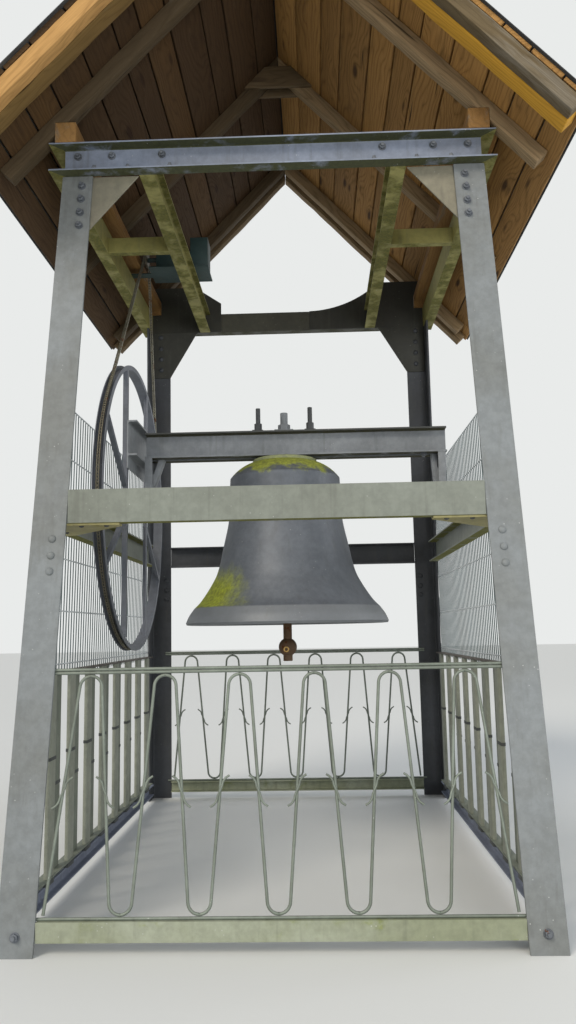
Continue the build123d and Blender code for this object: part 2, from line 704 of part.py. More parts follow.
def wheel():
    """Bell wheel: grooved rim, two upright angle bars and four short spokes."""
    x0 = WHEEL_X - WHEEL_WIDTH / 2
    x1 = WHEEL_X + WHEEL_WIDTH / 2
    inner_r = WHEEL_FLOOR_R - WHEEL_WALL
    outline = [
        (x0, inner_r), (x1, inner_r), (x1, WHEEL_R), (x1 - WHEEL_WALL, WHEEL_R),
        (x1 - WHEEL_WALL, WHEEL_FLOOR_R), (x0 + WHEEL_WALL, WHEEL_FLOOR_R),
        (x0 + WHEEL_WALL, WHEEL_R), (x0, WHEEL_R),
    ]
    points = [(x, 0, PIVOT_Z + r) for x, r in outline]
    axis = Axis((0, 0, PIVOT_Z), (1, 0, 0))
    rim = revolve(make_face(Polyline(*points, close=True)), axis=axis)
    half = math.sqrt(inner_r ** 2 - (BAR_Y + BAR_WIDTH / 2) ** 2) + BAR_LAP
    reach = inner_r + BAR_LAP / 2
    angle = math.radians(SPOKE_ANGLE)
    body = rim
    for end in (-1, 1):
        y = end * BAR_Y
        body += wheel_angle((y, PIVOT_Z - half), (y, PIVOT_Z + half), BAR_WIDTH, end)
        for rise in (-1, 1):
            start = (y, PIVOT_Z + rise * SPOKE_RISE)
            stop = (end * reach * math.cos(angle), PIVOT_Z + rise * reach * math.sin(angle))
            body += wheel_angle(start, stop, SPOKE_WIDTH, end)
    return body


def drive_motor():
    """Geared motor with its base plate from the ring side over the inner beam."""
    plate_top = RING_TOP + MOTOR_PLATE_THICK
    tongue_x = WHEEL_X + MOTOR_TONGUE_OFFSET
    gearbox_x0 = WHEEL_X + GEARBOX_OFFSET
    gearbox_x1 = gearbox_x0 + GEARBOX_LENGTH
    casing_x0 = gearbox_x1 + NECK_LENGTH
    casing_x1 = casing_x0 + CASING_LENGTH
    plate = block(tongue_x, casing_x1 + MOTOR_PLATE_EDGE, MOTOR_PLATE_Y0, MOTOR_PLATE_Y1,
                  RING_TOP, plate_top)
    plate += block(-RING_X, tongue_x, SPROCKET_Y - MOTOR_TONGUE / 2,
                   SPROCKET_Y + MOTOR_TONGUE / 2, RING_TOP, plate_top)
    gearbox = block(gearbox_x0, gearbox_x1, SPROCKET_Y - GEARBOX_HALF, SPROCKET_Y + GEARBOX_HALF,
                    plate_top, SPROCKET_Z + GEARBOX_HALF)
    casing = block(casing_x0, casing_x1, SPROCKET_Y - CASING_HALF, SPROCKET_Y + CASING_HALF,
                   SPROCKET_Z - CASING_DROP, SPROCKET_Z + CASING_RISE)
    neck = motor_cylinder(gearbox_x1, casing_x0, NECK_R)
    shaft = motor_cylinder(WHEEL_X - SHAFT_END, gearbox_x0, SHAFT_R)
    return plate + gearbox + neck + casing + shaft


def motor_cylinder(x0, x1, radius):
    """Cylinder on the motor's axis between two places along X."""
    return Pos((x0 + x1) / 2, SPROCKET_Y, SPROCKET_Z) * Rot(0, 90, 0) * Cylinder(radius, x1 - x0)


def sprocket():
    """Drive sprocket on the motor shaft, inside the chain."""
    disc = Cylinder(SPROCKET_R - CHAIN_DEPTH / 2 - CHAIN_SEAT, SPROCKET_THICK)
    hole = Cylinder(SHAFT_R, SPROCKET_THICK * 2)
    return Pos(WHEEL_X, SPROCKET_Y, SPROCKET_Z) * Rot(0, 90, 0) * (disc - hole)


def chain():
    """Chain loop round the sprocket and round the lower half of the wheel."""
    plane = Plane(origin=(WHEEL_X - CHAIN_WIDTH / 2, 0, 0), x_dir=(0, 1, 0), z_dir=(1, 0, 0))
    half = CHAIN_DEPTH / 2
    loops = []
    for grow in (half, -half):
        low = Pos(0, PIVOT_Z) * Circle(CHAIN_R + grow)
        high = Pos(SPROCKET_Y, SPROCKET_Z) * Circle(SPROCKET_R + grow)
        loops.append(make_hull(low.edges() + high.edges()))
    return extrude(plane * (loops[0] - loops[1]), amount=CHAIN_WIDTH)


def railing_y(z):
    """Railing plane at height z: against the back of the leg faces."""
    return leg_y(z) - LEG_THICK - RAIL_R - 1.5 * RAIL_SEAT


def railing(end):
    """Railing of two top rails, a bottom rail and one continuous bent rod."""
    arch_top = RAIL_Z - RAIL_STEP - RAIL_R - ROD_FLAT_R - RAIL_SEAT
    low = RAIL_LOW_Z + ROD_FLAT_R + RAIL_R + RAIL_SEAT
    points = []
    first = -ARCH_PITCH * (ARCH_COUNT - 1) / 2
    foot_x = leg_x(RAIL_LOW_Z) - LEG_WIDTH - ROD_END_GAP
    points.append((-foot_x, low))
    for index in range(ARCH_COUNT):
        x = first + index * ARCH_PITCH
        points.append((x - ARCH_R, arch_top))
        points.append((x + ARCH_R, arch_top))
        if index < ARCH_COUNT - 1:
            points.append((x + ARCH_PITCH / 2 - ARCH_R, low))
            points.append((x + ARCH_PITCH / 2 + ARCH_R, low))
    points.append((foot_x, low))
    spots = [(x, end * railing_y(z), z) for x, z in points]
    path = FilletPolyline(*spots, radius=ARCH_BEND_R)
    start = Plane(origin=path @ 0, z_dir=path % 0)
    bars = [sweep(start * RegularPolygon(ROD_R, ROD_SIDES), path=path)]
    for z in (RAIL_Z, RAIL_Z - RAIL_STEP, RAIL_LOW_Z):
        reach = leg_x(z) - LEG_WIDTH + RAIL_LAP
        y = end * railing_y(z)
        bars.append(Pos(0, y, z) * Rot(0, 90, 0) * Cylinder(RAIL_R, 2 * reach))
    return Compound(bars)


def fence_slats(side):
    """Side fence on the bottom beam: slats inside and outside of two long strips."""
    strip_x = SLAT_INNER_X + SLAT_THICK
    outer_x = strip_x + STRIP_THICK
    reach = leg_y(STRIP_TOP_Z) - LEG_WIDTH
    body = block(side * strip_x, side * outer_x, -reach, reach, BASE_TOP,
                 BASE_TOP + STRIP_HEIGHT)
    body += block(side * strip_x, side * outer_x, -reach, reach,
                  STRIP_TOP_Z - STRIP_HEIGHT, STRIP_TOP_Z)
    count = int(2 * reach / SLAT_PITCH)
    first = SLAT_SHIFT - SLAT_PITCH * (count - 1) / 2
    for index in range(count):
        for x, shift in ((SLAT_INNER_X, SLAT_PITCH / 4), (outer_x, -SLAT_PITCH / 4)):
            y = first + shift + index * SLAT_PITCH
            body += block(side * x, side * (x + SLAT_THICK), y - SLAT_WIDTH / 2,
                          y + SLAT_WIDTH / 2, BASE_TOP, SLAT_TOP_Z)
    return body


def mesh_wire(side, y0, y1, z0, z1):
    """Straight wire of the side mesh, lying on the outer faces of the legs."""
    points = [(side * leg_x(z0), y0, z0), (side * (leg_x(z0) + WIRE), y0, z0),
              (side * (leg_x(z1) + WIRE), y0, z1), (side * leg_x(z1), y0, z1)]
    return prism(points, (0, y1 - y0, 0))


def mesh_reach(z):
    """Half length of the mesh at height z: to the middle of each leg."""
    return leg_y(z) - LEG_WIDTH / 2


def mesh_panel(side):
    """Welded wire panel that lies on the legs, cut to follow them."""
    rows = [MESH_Z0 + row * MESH_ROW_PITCH for row in range(MESH_ROWS)]
    body = None
    for z in rows:
        wire = mesh_wire(side, -mesh_reach(z), mesh_reach(z), z, z + WIRE)
        body = wire if body is None else body + wire
    columns = int(mesh_reach(MESH_Z0) / MESH_COLUMN_PITCH)
    for column in range(-columns, columns + 1):
        y = column * MESH_COLUMN_PITCH
        tops = [z for z in rows if mesh_reach(z) > abs(y) + WIRE]
        if len(tops) > 1:
            body += mesh_wire(side, y - WIRE / 2, y + WIRE / 2, MESH_Z0, tops[-1] + WIRE)
    return body


def wall_plate(side):
    """Timber on packers along the side of the head ring."""
    x0 = side * WALL_PLATE_X0
    x1 = side * WALL_PLATE_X1
    reach = RAFTER_Y + RAFTER_WIDTH / 2
    body = block(x0, x1, -reach, reach, WALL_PLATE_Z0, WALL_PLATE_Z1)
    for y in (-reach, -PACKER_LENGTH / 2, reach - PACKER_LENGTH):
        body += block(x0, x1, y, y + PACKER_LENGTH, RING_TOP, WALL_PLATE_Z0)
    return body


def sloping(side, x_foot, y0, y1, drop0, drop1):
    """Sloping timber from the apex to x_foot, between two depths below the boards."""
    sine, cosine = ROOF_NORMAL
    foot_z = ROOF_APEX_Z - x_foot * SLOPE
    points = [
        (0, y0, ROOF_APEX_Z - drop0 / cosine),
        (side * (x_foot - drop0 * sine), y0, foot_z - drop0 * cosine),
        (side * (x_foot - drop1 * sine), y0, foot_z - drop1 * cosine),
        (0, y0, ROOF_APEX_Z - drop1 / cosine),
    ]
    return prism(points, (0, y1 - y0, 0))


def rafter_pair(y):
    """Pair of rafters that meet at the ridge, notched over the wall plates."""
    half = RAFTER_WIDTH / 2
    bodies = []
    for side in (-1, 1):
        rafter = sloping(side, RAFTER_FOOT_X, y - half, y + half, 0, RAFTER_DEPTH)
        notch = block(side * WALL_PLATE_X0, side * WALL_PLATE_X1, y - half, y + half,
                      RING_TOP, WALL_PLATE_Z1)
        bodies.append(rafter - notch)
    return bodies[0] + bodies[1]


def collar_plates():
    """Boards nailed on both faces of the middle rafters, under the ridge."""
    low = ROOF_APEX_Z - COLLAR_HALF * SLOPE
    high = low + COLLAR_HEIGHT
    top_half = (ROOF_APEX_Z - high) / SLOPE
    boards = []
    for y in (-RAFTER_WIDTH / 2 - COLLAR_THICK, RAFTER_WIDTH / 2):
        points = [(-COLLAR_HALF, y, low), (COLLAR_HALF, y, low), (top_half, y, high),
                  (-top_half, y, high)]
        boards.append(prism(points, (0, COLLAR_THICK, 0)))
    return Compound(boards)


def verge_pair(y0, y1):
    """Pair of verge timbers under the end of the boards."""
    left = sloping(-1, EAVE_X, y0, y1, 0, RAFTER_DEPTH)
    right = sloping(1, EAVE_X, y0, y1, 0, RAFTER_DEPTH)
    return left + right


def roof_boards(side):
    """Boarding of one slope, laid along the ridge."""
    return sloping(side, EAVE_X, ROOF_FRONT_Y, ROOF_REAR_Y, -BOARD_THICK, 0)


def roof_felt():
    """Roofing felt over both slopes, with a small overhang all round."""
    y0 = ROOF_FRONT_Y - FELT_OVERHANG
    y1 = ROOF_REAR_Y + FELT_OVERHANG
    x = EAVE_X + FELT_OVERHANG
    left = sloping(-1, x, y0, y1, -BOARD_THICK - FELT_THICK, -BOARD_THICK)
    right = sloping(1, x, y0, y1, -BOARD_THICK - FELT_THICK, -BOARD_THICK)
    return left + right


SIDES = {"left": -1, "right": 1}
ENDS = {"front": -1, "rear": 1}

parts = {}
for end_name, end in ENDS.items():
    for side_name, side in SIDES.items():
        parts[f"leg_{end_name}_{side_name}"] = leg(side, end)
    parts[f"ring_beam_{end_name}"] = ring_beam_x(end)
    parts[f"mid_beam_{end_name}"] = mid_beam_x(end)
    parts[f"base_beam_{end_name}"] = base_beam_x(end)
    parts[f"railing_{end_name}"] = railing(end)
for side_name, side in SIDES.items():
    parts[f"ring_beam_{side_name}"] = ring_beam_y(side)
    parts[f"inner_beam_{side_name}"] = inner_beam(side)
    parts[f"cross_tie_{side_name}"] = cross_tie(side)
    parts[f"mid_beam_{side_name}"] = mid_beam_y(side)
    parts[f"base_beam_{side_name}"] = base_beam_y(side)
    parts[f"bearing_{side_name}"] = bearing(side)
    parts[f"fence_slats_{side_name}"] = fence_slats(side)
    parts[f"mesh_panel_{side_name}"] = mesh_panel(side)
    parts[f"wall_plate_{side_name}"] = wall_plate(side)
    parts[f"roof_boards_{side_name}"] = roof_boards(side)
parts["head_gussets_front"] = front_gussets()
parts["head_plates_rear"] = rear_head_plates()
parts["corner_plates_front"] = corner_plates(-1)
parts["rafters_front"] = rafter_pair(-RAFTER_Y)
parts["rafters_middle"] = rafter_pair(0)
parts["rafters_rear"] = rafter_pair(RAFTER_Y)
parts["collar_plates"] = collar_plates()
outer_verge = ROOF_FRONT_Y + RAFTER_WIDTH
parts["verge_front_outer"] = verge_pair(ROOF_FRONT_Y, outer_verge)
parts["verge_front_inner"] = verge_pair(outer_verge, outer_verge + VERGE_INNER_WIDTH)
parts["verge_rear"] = verge_pair(ROOF_REAR_Y - RAFTER_WIDTH, ROOF_REAR_Y)
parts["roof_felt"] = roof_felt()
parts["drive_motor"] = drive_motor()
parts["drive_sprocket"] = sprocket()
parts["drive_chain"] = chain()
parts["bell"] = bell()
parts["yoke_channels"] = yoke_channels()
parts["yoke_cross_channel"] = yoke_cross_channel()
parts["crank_left"] = crank(-1, YOKE_LEFT_X, BRACE_LEFT_TOP, BRACE_LEFT_FOOT)
parts["crank_right"] = crank(1, CRANK_RIGHT_X, BRACE_RIGHT_TOP, BRACE_RIGHT_FOOT)
parts["hanger_bolts"] = hanger_bolts()
parts["clapper_staple"] = clapper_staple()
parts["bell_wheel"] = wheel()
parts["clapper"] = clapper()

os.makedirs("parts", exist_ok=True)
for name, shape in parts.items():
    export_step(Pos(0, SET_BACK, 0) * shape, f"parts/{name}.step")
print(f"{len(parts)} nodes, set back {SET_BACK:.1f} mm")
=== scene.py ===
"""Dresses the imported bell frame: steel sections, fences, roof, bell, wheel and drive.

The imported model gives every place, in metres: X across, Y from front to back, Z up.
"""
import logging
import math
import random
from collections.abc import Callable, Iterable, Sequence
from dataclasses import dataclass, field
from enum import Enum

import bmesh
import bpy
from mathutils import Matrix, Vector, noise
from mathutils.bvhtree import BVHTree

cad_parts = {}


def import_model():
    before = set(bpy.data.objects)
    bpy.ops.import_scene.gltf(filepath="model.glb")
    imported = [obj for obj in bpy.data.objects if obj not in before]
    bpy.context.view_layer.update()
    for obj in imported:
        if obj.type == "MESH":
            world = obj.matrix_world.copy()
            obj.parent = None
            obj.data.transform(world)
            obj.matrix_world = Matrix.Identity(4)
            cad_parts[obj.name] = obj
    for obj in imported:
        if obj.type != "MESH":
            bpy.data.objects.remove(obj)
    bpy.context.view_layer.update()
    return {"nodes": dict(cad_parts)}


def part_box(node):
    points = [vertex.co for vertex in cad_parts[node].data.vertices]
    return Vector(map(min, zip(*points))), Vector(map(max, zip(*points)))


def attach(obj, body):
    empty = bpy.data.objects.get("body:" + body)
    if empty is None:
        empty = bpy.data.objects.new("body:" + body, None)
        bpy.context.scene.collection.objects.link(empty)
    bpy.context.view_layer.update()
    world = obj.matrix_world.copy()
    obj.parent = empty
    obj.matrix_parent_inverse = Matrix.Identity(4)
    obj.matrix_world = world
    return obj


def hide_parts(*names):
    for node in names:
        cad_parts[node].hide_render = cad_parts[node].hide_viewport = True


LOG = logging.getLogger("bell_frame")
SIDES = {"left": -1, "right": 1}
ENDS = {"front": -1, "rear": 1}
SHARP = math.radians(25)
SMOOTH = 30.0
MERGED = 1e-5
FLAT = math.radians(0.5)


class Body(Enum):
    """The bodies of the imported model."""

    FRAME = "frame"
    BELL = "bell"
    CLAPPER = "clapper"


class Slot(Enum):
    """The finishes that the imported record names."""

    FRAME_PAINT = "frame_paint"
    HOUSING = "cast_housing"
    RAIL = "rail_steel"
    SLAT = "slat_paint"
    MESH = "mesh_wire"
    TIMBER = "timber"
    BOARDING = "boarding"
    FELT = "roofing_felt"
    DRIVE = "drive_paint"
    CHAIN = "chain_steel"
    BELL = "bell_steel"
    YOKE = "yoke_paint"
    BOLT = "bolt_steel"
    CLAPPER = "clapper_iron"


def srgb(code: str) -> tuple[float, float, float, float]:
    """Gives the linear colour of a six-digit colour code.

    Args:
        code: Red, green and blue as two hexadecimal digits each.

    Returns:
        Linear red, green, blue and an alpha of one.
    """
    parts = [int(code[i:i + 2], 16) / 255 for i in (0, 2, 4)]
    linear = [c / 12.92 if c <= 0.04045 else ((c + 0.055) / 1.055) ** 2.4 for c in parts]
    return (linear[0], linear[1], linear[2], 1.0)


class Value:
    """What a socket gives, ready to be calculated with in its own tree."""

    def __init__(self, graph: "Graph", socket: bpy.types.NodeSocket) -> None:
        """Keeps the socket and the graph that it is in."""
        self.graph = graph
        self.socket = socket

    def __add__(self, other: "Feed") -> "Value":
        """Adds a value."""
        return self.graph.math("ADD", self, other)

    def __sub__(self, other: "Feed") -> "Value":
        """Takes a value away."""
        return self.graph.math("SUBTRACT", self, other)

    def __rsub__(self, other: "Feed") -> "Value":
        """Takes this away from a value."""
        return self.graph.math("SUBTRACT", other, self)

    def __mul__(self, other: "Feed") -> "Value":
        """Multiplies by a value."""
        return self.graph.math("MULTIPLY", self, other)


Feed = Value | bpy.types.Material | Sequence[float] | float | bool | str


@dataclass(frozen=True)
class Noise:
    """A noise texture, and the part of its values that spreads from 0 to 1."""

    scale: float
    detail: float
    rough: float = 0.55
    low: float = 0.0
    high: float = 1.0
    stretch: tuple[float, float, float] | None = None


class Pattern(Enum):
    """The noises of the finishes."""

    CLOUDS = Noise(1.6, 6.0, 0.6, 0.35, 0.65)
    MOTTLE = Noise(23.0, 5.0, 0.7, 0.3, 0.7)
    RUNS = Noise(1.0, 4.0, 0.6, 0.52, 0.75, (26.0, 26.0, 1.3))
    MOSS = Noise(60.0, 4.0, 0.7, 0.3, 0.7)
    RUST = Noise(90.0, 3.0, 0.7)
    FLECKS = Noise(5.0, 4.0, 0.55, 0.5, 0.62)
    GRIT = Noise(140.0, 3.0, 0.6)
    WANDER = Noise(1.0, 3.0, stretch=(1.1, 5.0, 5.0))
    FIBRES = Noise(1.0, 4.0, 0.7, 0.3, 0.7, (5.0, 210.0, 210.0))
    CRACKS = Noise(1.0, 3.0, 0.5, 0.69, 0.76, (1.4, 42.0, 42.0))
    RAGGED = Noise(9.0, 7.0, 0.65)
    LICHEN = Noise(46.0, 5.0, 0.7, 0.3, 0.7)
    TURNING = Noise(1.0, 2.0, stretch=(0.3, 0.3, 120.0))


@dataclass(frozen=True)
class Spots:
    """Uneven patches: how close they are, how soft their edge is, and their stretch."""

    scale: float
    edge: float
    stretch: tuple[float, float, float] | None = None


class Cover(Enum):
    """The patches of the finishes."""

    FILM = Spots(7.0, 0.22)
    RUST = Spots(19.0, 0.05)
    STAIN = Spots(1.5, 0.25, (1.0, 3.0, 3.0))
    GREYING = Spots(2.2, 0.2, (1.0, 6.0, 6.0))
    WORN = Spots(2.6, 0.3)
    CUSHION = Spots(6.5, 0.1)


@dataclass(frozen=True)
class Layer:
    """A colour that lies over another one, and how dense it is."""

    code: str
    density: float = 1.0


class Tint(Enum):
    """The layers of dirt, wear and growth, and one layer of painted shade."""

    RUN = Layer("4a4a42")
    FLECK = Layer("c9cbc6")
    # Painted shade along the tops of the yoke channels.
    TOP_SHADE = Layer("2f302a", 0.85)
    STAIN = Layer("33261a", 0.55)
    CRACK = Layer("1d150d", 0.8)
    KNOT = Layer("2e1c0f", 0.85)
    LAP = Layer("1c1d1e", 0.7)
    WORN_FELT = Layer("74756c", 0.6)
    FELT_MOSS = Layer("5b662f", 0.85)
    BRIGHT_RIM = Layer("989b9c", 0.4)


class Graph:
    """Builds one node tree, for shading or for geometry."""

    def __init__(self, tree: bpy.types.NodeTree) -> None:
        """Keeps the tree that the nodes go into."""
        self.tree = tree

    def fill(self, made: bpy.types.Node, feeds: dict[str | int, Feed]) -> None:
        """Links or sets inputs of a node.

        Args:
            made: The node.
            feeds: Value for each input, by its name or number.
        """
        for key, value in feeds.items():
            if isinstance(value, Value):
                self.tree.links.new(value.socket, made.inputs[key])
            else:
                made.inputs[key].default_value = value

    def node(self, kind: str, feeds: dict[str | int, Feed] | None = None,
             **settings: object) -> bpy.types.Node:
        """Adds a node.

        Args:
            kind: Identifier of the node type.
            feeds: Value for each input, by its name or number.
            settings: Properties of the node.

        Returns:
            The node.
        """
        made = self.tree.nodes.new(kind)
        for key, value in settings.items():
            setattr(made, key, value)
        self.fill(made, feeds or {})
        return made

    def out(self, kind: str, feeds: dict[str | int, Feed] | None = None, give: str | int = 0,
            **settings: object) -> Value:
        """Adds a node and gives one of its outputs."""
        return Value(self, self.node(kind, feeds, **settings).outputs[give])

    def group(self, tree: bpy.types.NodeTree, feeds: dict[str, Feed]) -> dict[str, Value]:
        """Places a shared group and gives its outputs by name."""
        made = self.node("ShaderNodeGroup", feeds, node_tree=tree)
        return {socket.name: Value(self, socket) for socket in made.outputs}

    def math(self, operation: str, a: Feed, b: Feed = 0.0) -> Value:
        """Joins two numbers, or a vector and a second one.

        Args:
            operation: What is done with them.
            a: The first one, which decides between numbers and vectors.
            b: The second one.

        Returns:
            The result.
        """
        vectors = isinstance(a, Value) and a.socket.type in ("VECTOR", "RGBA")
        kind = "ShaderNodeVectorMath" if vectors else "ShaderNodeMath"
        return self.out(kind, {0: a, 1: b}, operation=operation)

    def parts(self, vector: Value) -> list[Value]:
        """Splits a vector into its three numbers."""
        split = self.node("ShaderNodeSeparateXYZ", {0: vector})
        return [Value(self, socket) for socket in split.outputs]

    def whole(self, x: Feed = 0.0, y: Feed = 0.0, z: Feed = 0.0) -> Value:
        """Joins three numbers into a vector."""
        return self.out("ShaderNodeCombineXYZ", {0: x, 1: y, 2: z})

    def mix(self, factor: Feed, a: Feed, b: Feed, blend: str = "MIX") -> Value:
        """Mixes two colours by a factor."""
        return self.out("ShaderNodeMix", {0: factor, 6: a, 7: b}, 2, data_type="RGBA",
                        blend_type=blend)

    def layer(self, color: Feed, mask: Value, tint: Tint) -> Value:
        """Lays a tint over a colour where a mask is."""
        return self.mix(mask * tint.value.density, color, srgb(tint.value.code))

    def remap(self, value: Feed, low: Feed, high: Feed, start: float = 0.0,
              stop: float = 1.0) -> Value:
        """Turns a value between low and high smoothly into one from start to stop."""
        return self.out("ShaderNodeMapRange", {0: value, 1: low, 2: high, 3: start, 4: stop},
                        interpolation_type="SMOOTHSTEP")

    def noise(self, place: Value, pattern: Pattern) -> Value:
        """Gives the plain value of a pattern.

        Args:
            place: Where it is read.
            pattern: The pattern.

        Returns:
            The value.
        """
        look = pattern.value
        return self.out("ShaderNodeTexNoise", {
            "Vector": place * look.stretch if look.stretch else place, "Scale": look.scale,
            "Detail": look.detail, "Roughness": look.rough})

    def spread(self, value: Value, pattern: Pattern, start: float = 0.0,
               stop: float = 1.0) -> Value:
        """Spreads a pattern's value over its own bounds."""
        return self.remap(value, pattern.value.low, pattern.value.high, start, stop)

    def cells(self, place: Value, scale: float) -> Value:
        """Gives the distance to the nearest point of a cell texture."""
        return self.out("ShaderNodeTexVoronoi", {"Vector": place, "Scale": scale})

    def mask(self, patches: bpy.types.NodeTree, place: Value, kind: Cover, share: Feed) -> Value:
        """Gives a mask of patches.

        Args:
            patches: The mask group.
            place: Where it is read.
            kind: The kind of patches.
            share: How much of the surface they cover.

        Returns:
            The mask.
        """
        spots = kind.value
        return self.group(patches, {
            "Place": place * spots.stretch if spots.stretch else place, "Scale": spots.scale,
            "Cover": share, "Edge": spots.edge})["Mask"]

    def read(self, name: str, kind: str = "FLOAT") -> Value:
        """Reads an attribute of the geometry."""
        return self.out("GeometryNodeInputNamedAttribute", {"Name": name}, data_type=kind)

    def store(self, geometry: Value, name: str, value: Value, kind: str = "FLOAT") -> Value:
        """Stores an attribute on the geometry's points."""
        return self.out("GeometryNodeStoreNamedAttribute", {
            "Geometry": geometry, "Name": name, "Value": value}, data_type=kind, domain="POINT")


@dataclass(frozen=True)
class Port:
    """One input or output of a node group."""

    name: str
    kind: str = "Float"
    value: object = None


def new_group(name: str, kind: str, inputs: Iterable[Port], outputs: Iterable[Port],
              ) -> tuple[Graph, dict[str, Value], bpy.types.Node]:
    """Makes a node group with its sockets.

    Args:
        name: Name of the group.
        kind: ShaderNodeTree or GeometryNodeTree.
        inputs: The sockets on the left.
        outputs: The sockets on the right.

    Returns:
        The graph to fill, its inputs by name, and the output node.
    """
    tree = bpy.data.node_groups.new(name, kind)
    for side, ports in (("INPUT", inputs), ("OUTPUT", outputs)):
        for port in ports:
            socket = tree.interface.new_socket(port.name, in_out=side,
                                               socket_type=f"NodeSocket{port.kind}")
            if port.value is not None:
                socket.default_value = port.value
    graph = Graph(tree)
    entry = tree.nodes.new("NodeGroupInput")
    get = {socket.name: Value(graph, socket) for socket in entry.outputs if socket.name}
    return graph, get, tree.nodes.new("NodeGroupOutput")


@dataclass(frozen=True)
class PatchGroup:
    """The mask group: uneven patches that cover a share of the surface."""

    detail: float = 7.0
    roughness: float = 0.62
    twist: float = 0.25
    bare: float = 0.74
    covered: float = 0.26

    def build(self) -> bpy.types.NodeTree:
        """Makes the group."""
        graph, get, out = new_group(
            "patches", "ShaderNodeTree",
            [Port("Place", "Vector"), Port("Scale", value=6.0), Port("Cover", value=0.3),
             Port("Edge", value=0.08)],
            [Port("Mask")])
        clouds = graph.out("ShaderNodeTexNoise", {
            "Vector": get["Place"], "Scale": get["Scale"], "Detail": self.detail,
            "Roughness": self.roughness, "Distortion": self.twist})
        level = graph.remap(get["Cover"], 0.0, 1.0, self.bare, self.covered)
        graph.fill(out, {"Mask": graph.remap(clouds, level, level + get["Edge"])})
        return graph.tree


@dataclass(frozen=True)
class WeatherGroup:
    """The group that ages a painted or cast surface: clouds, runs, moss, rust, pale flecks, and the
    moss colour on down-facing sides, partly growth and partly painted shade.
    """

    mottle: tuple[float, float] = (0.88, 1.1)
    # Facing heights over which down-facing sides take the moss colour, partly as growth and partly
    # as painted shade.
    underside: tuple[float, float] = (-0.35, -0.8)
    moss_shade: str = "2c2f20"
    moss_depth: float = 0.55
    rust_tones: tuple[str, str] = ("3f2416", "8a5430")
    rust_density: float = 0.85
    fleck_scale: float = 34.0
    fleck_edge: tuple[float, float] = (0.12, 0.05)
    dulling: float = 0.35
    mottled_gloss: float = 0.08
    grit_relief: float = 0.25
    rust_relief: float = 0.5

    def build(self, patches: bpy.types.NodeTree) -> bpy.types.NodeTree:
        """Makes the group.

        Args:
            patches: The mask group.

        Returns:
            The group.
        """
        graph, get, out = new_group(
            "weather", "ShaderNodeTree",
            [Port("Place", "Vector"), Port("Facing", "Vector"), Port("Paint", "Color"),
             Port("Cloud", "Color"), Port("Moss", "Color"), Port("Moss cover", value=0.0),
             Port("Underside moss and shade", value=0.0), Port("Rust", value=0.0), Port("Flecks", value=0.3),
             Port("Runs", value=0.3), Port("Roughness", value=0.5)],
            [Port("Color", "Color"), Port("Roughness"), Port("Height")])
        place = get["Place"]
        plain = {pattern: graph.noise(place, pattern) for pattern in (
            Pattern.CLOUDS, Pattern.MOTTLE, Pattern.RUNS, Pattern.MOSS, Pattern.RUST,
            Pattern.FLECKS, Pattern.GRIT)}
        full = {pattern: graph.spread(plain[pattern], pattern) for pattern in (
            Pattern.CLOUDS, Pattern.RUNS, Pattern.MOSS, Pattern.FLECKS)}
        mottle = graph.spread(plain[Pattern.MOTTLE], Pattern.MOTTLE, *self.mottle)
        color = graph.mix(full[Pattern.CLOUDS], get["Paint"], get["Cloud"])
        color = graph.mix(1.0, color, graph.out("ShaderNodeCombineColor", {
            0: mottle, 1: mottle, 2: mottle}), "MULTIPLY")
        color = graph.layer(color, full[Pattern.RUNS] * get["Runs"], Tint.RUN)
        # Down-facing sides take the moss colour: partly moss, partly painted shade under flanges
        # and beams.
        under = graph.remap(graph.parts(get["Facing"])[2], *self.underside) * get["Underside moss and shade"]
        film = graph.mask(patches, place, Cover.FILM,
                          graph.math("MAXIMUM", under, get["Moss cover"]))
        shaded_moss = graph.mix(self.moss_depth, get["Moss"], srgb(self.moss_shade))
        color = graph.mix(film, color, graph.mix(full[Pattern.MOSS], shaded_moss, get["Moss"]))
        rusty = graph.mask(patches, place, Cover.RUST, get["Rust"])
        rust_tone = graph.mix(plain[Pattern.RUST], *map(srgb, self.rust_tones))
        color = graph.mix(rusty * self.rust_density, color, rust_tone)
        speck = graph.remap(graph.cells(place, self.fleck_scale), *self.fleck_edge)
        speck = speck * full[Pattern.FLECKS] * get["Flecks"]
        dull = graph.math("MAXIMUM", film, rusty) * self.dulling
        rough = get["Roughness"] + dull + mottle * self.mottled_gloss
        graph.fill(out, {
            "Color": graph.layer(color, speck, Tint.FLECK),
            "Roughness": graph.math("MINIMUM", rough, 1.0),
            "Height": (plain[Pattern.GRIT] * self.grit_relief + rusty * self.rust_relief
                       + film * plain[Pattern.MOSS])})
        return graph.tree


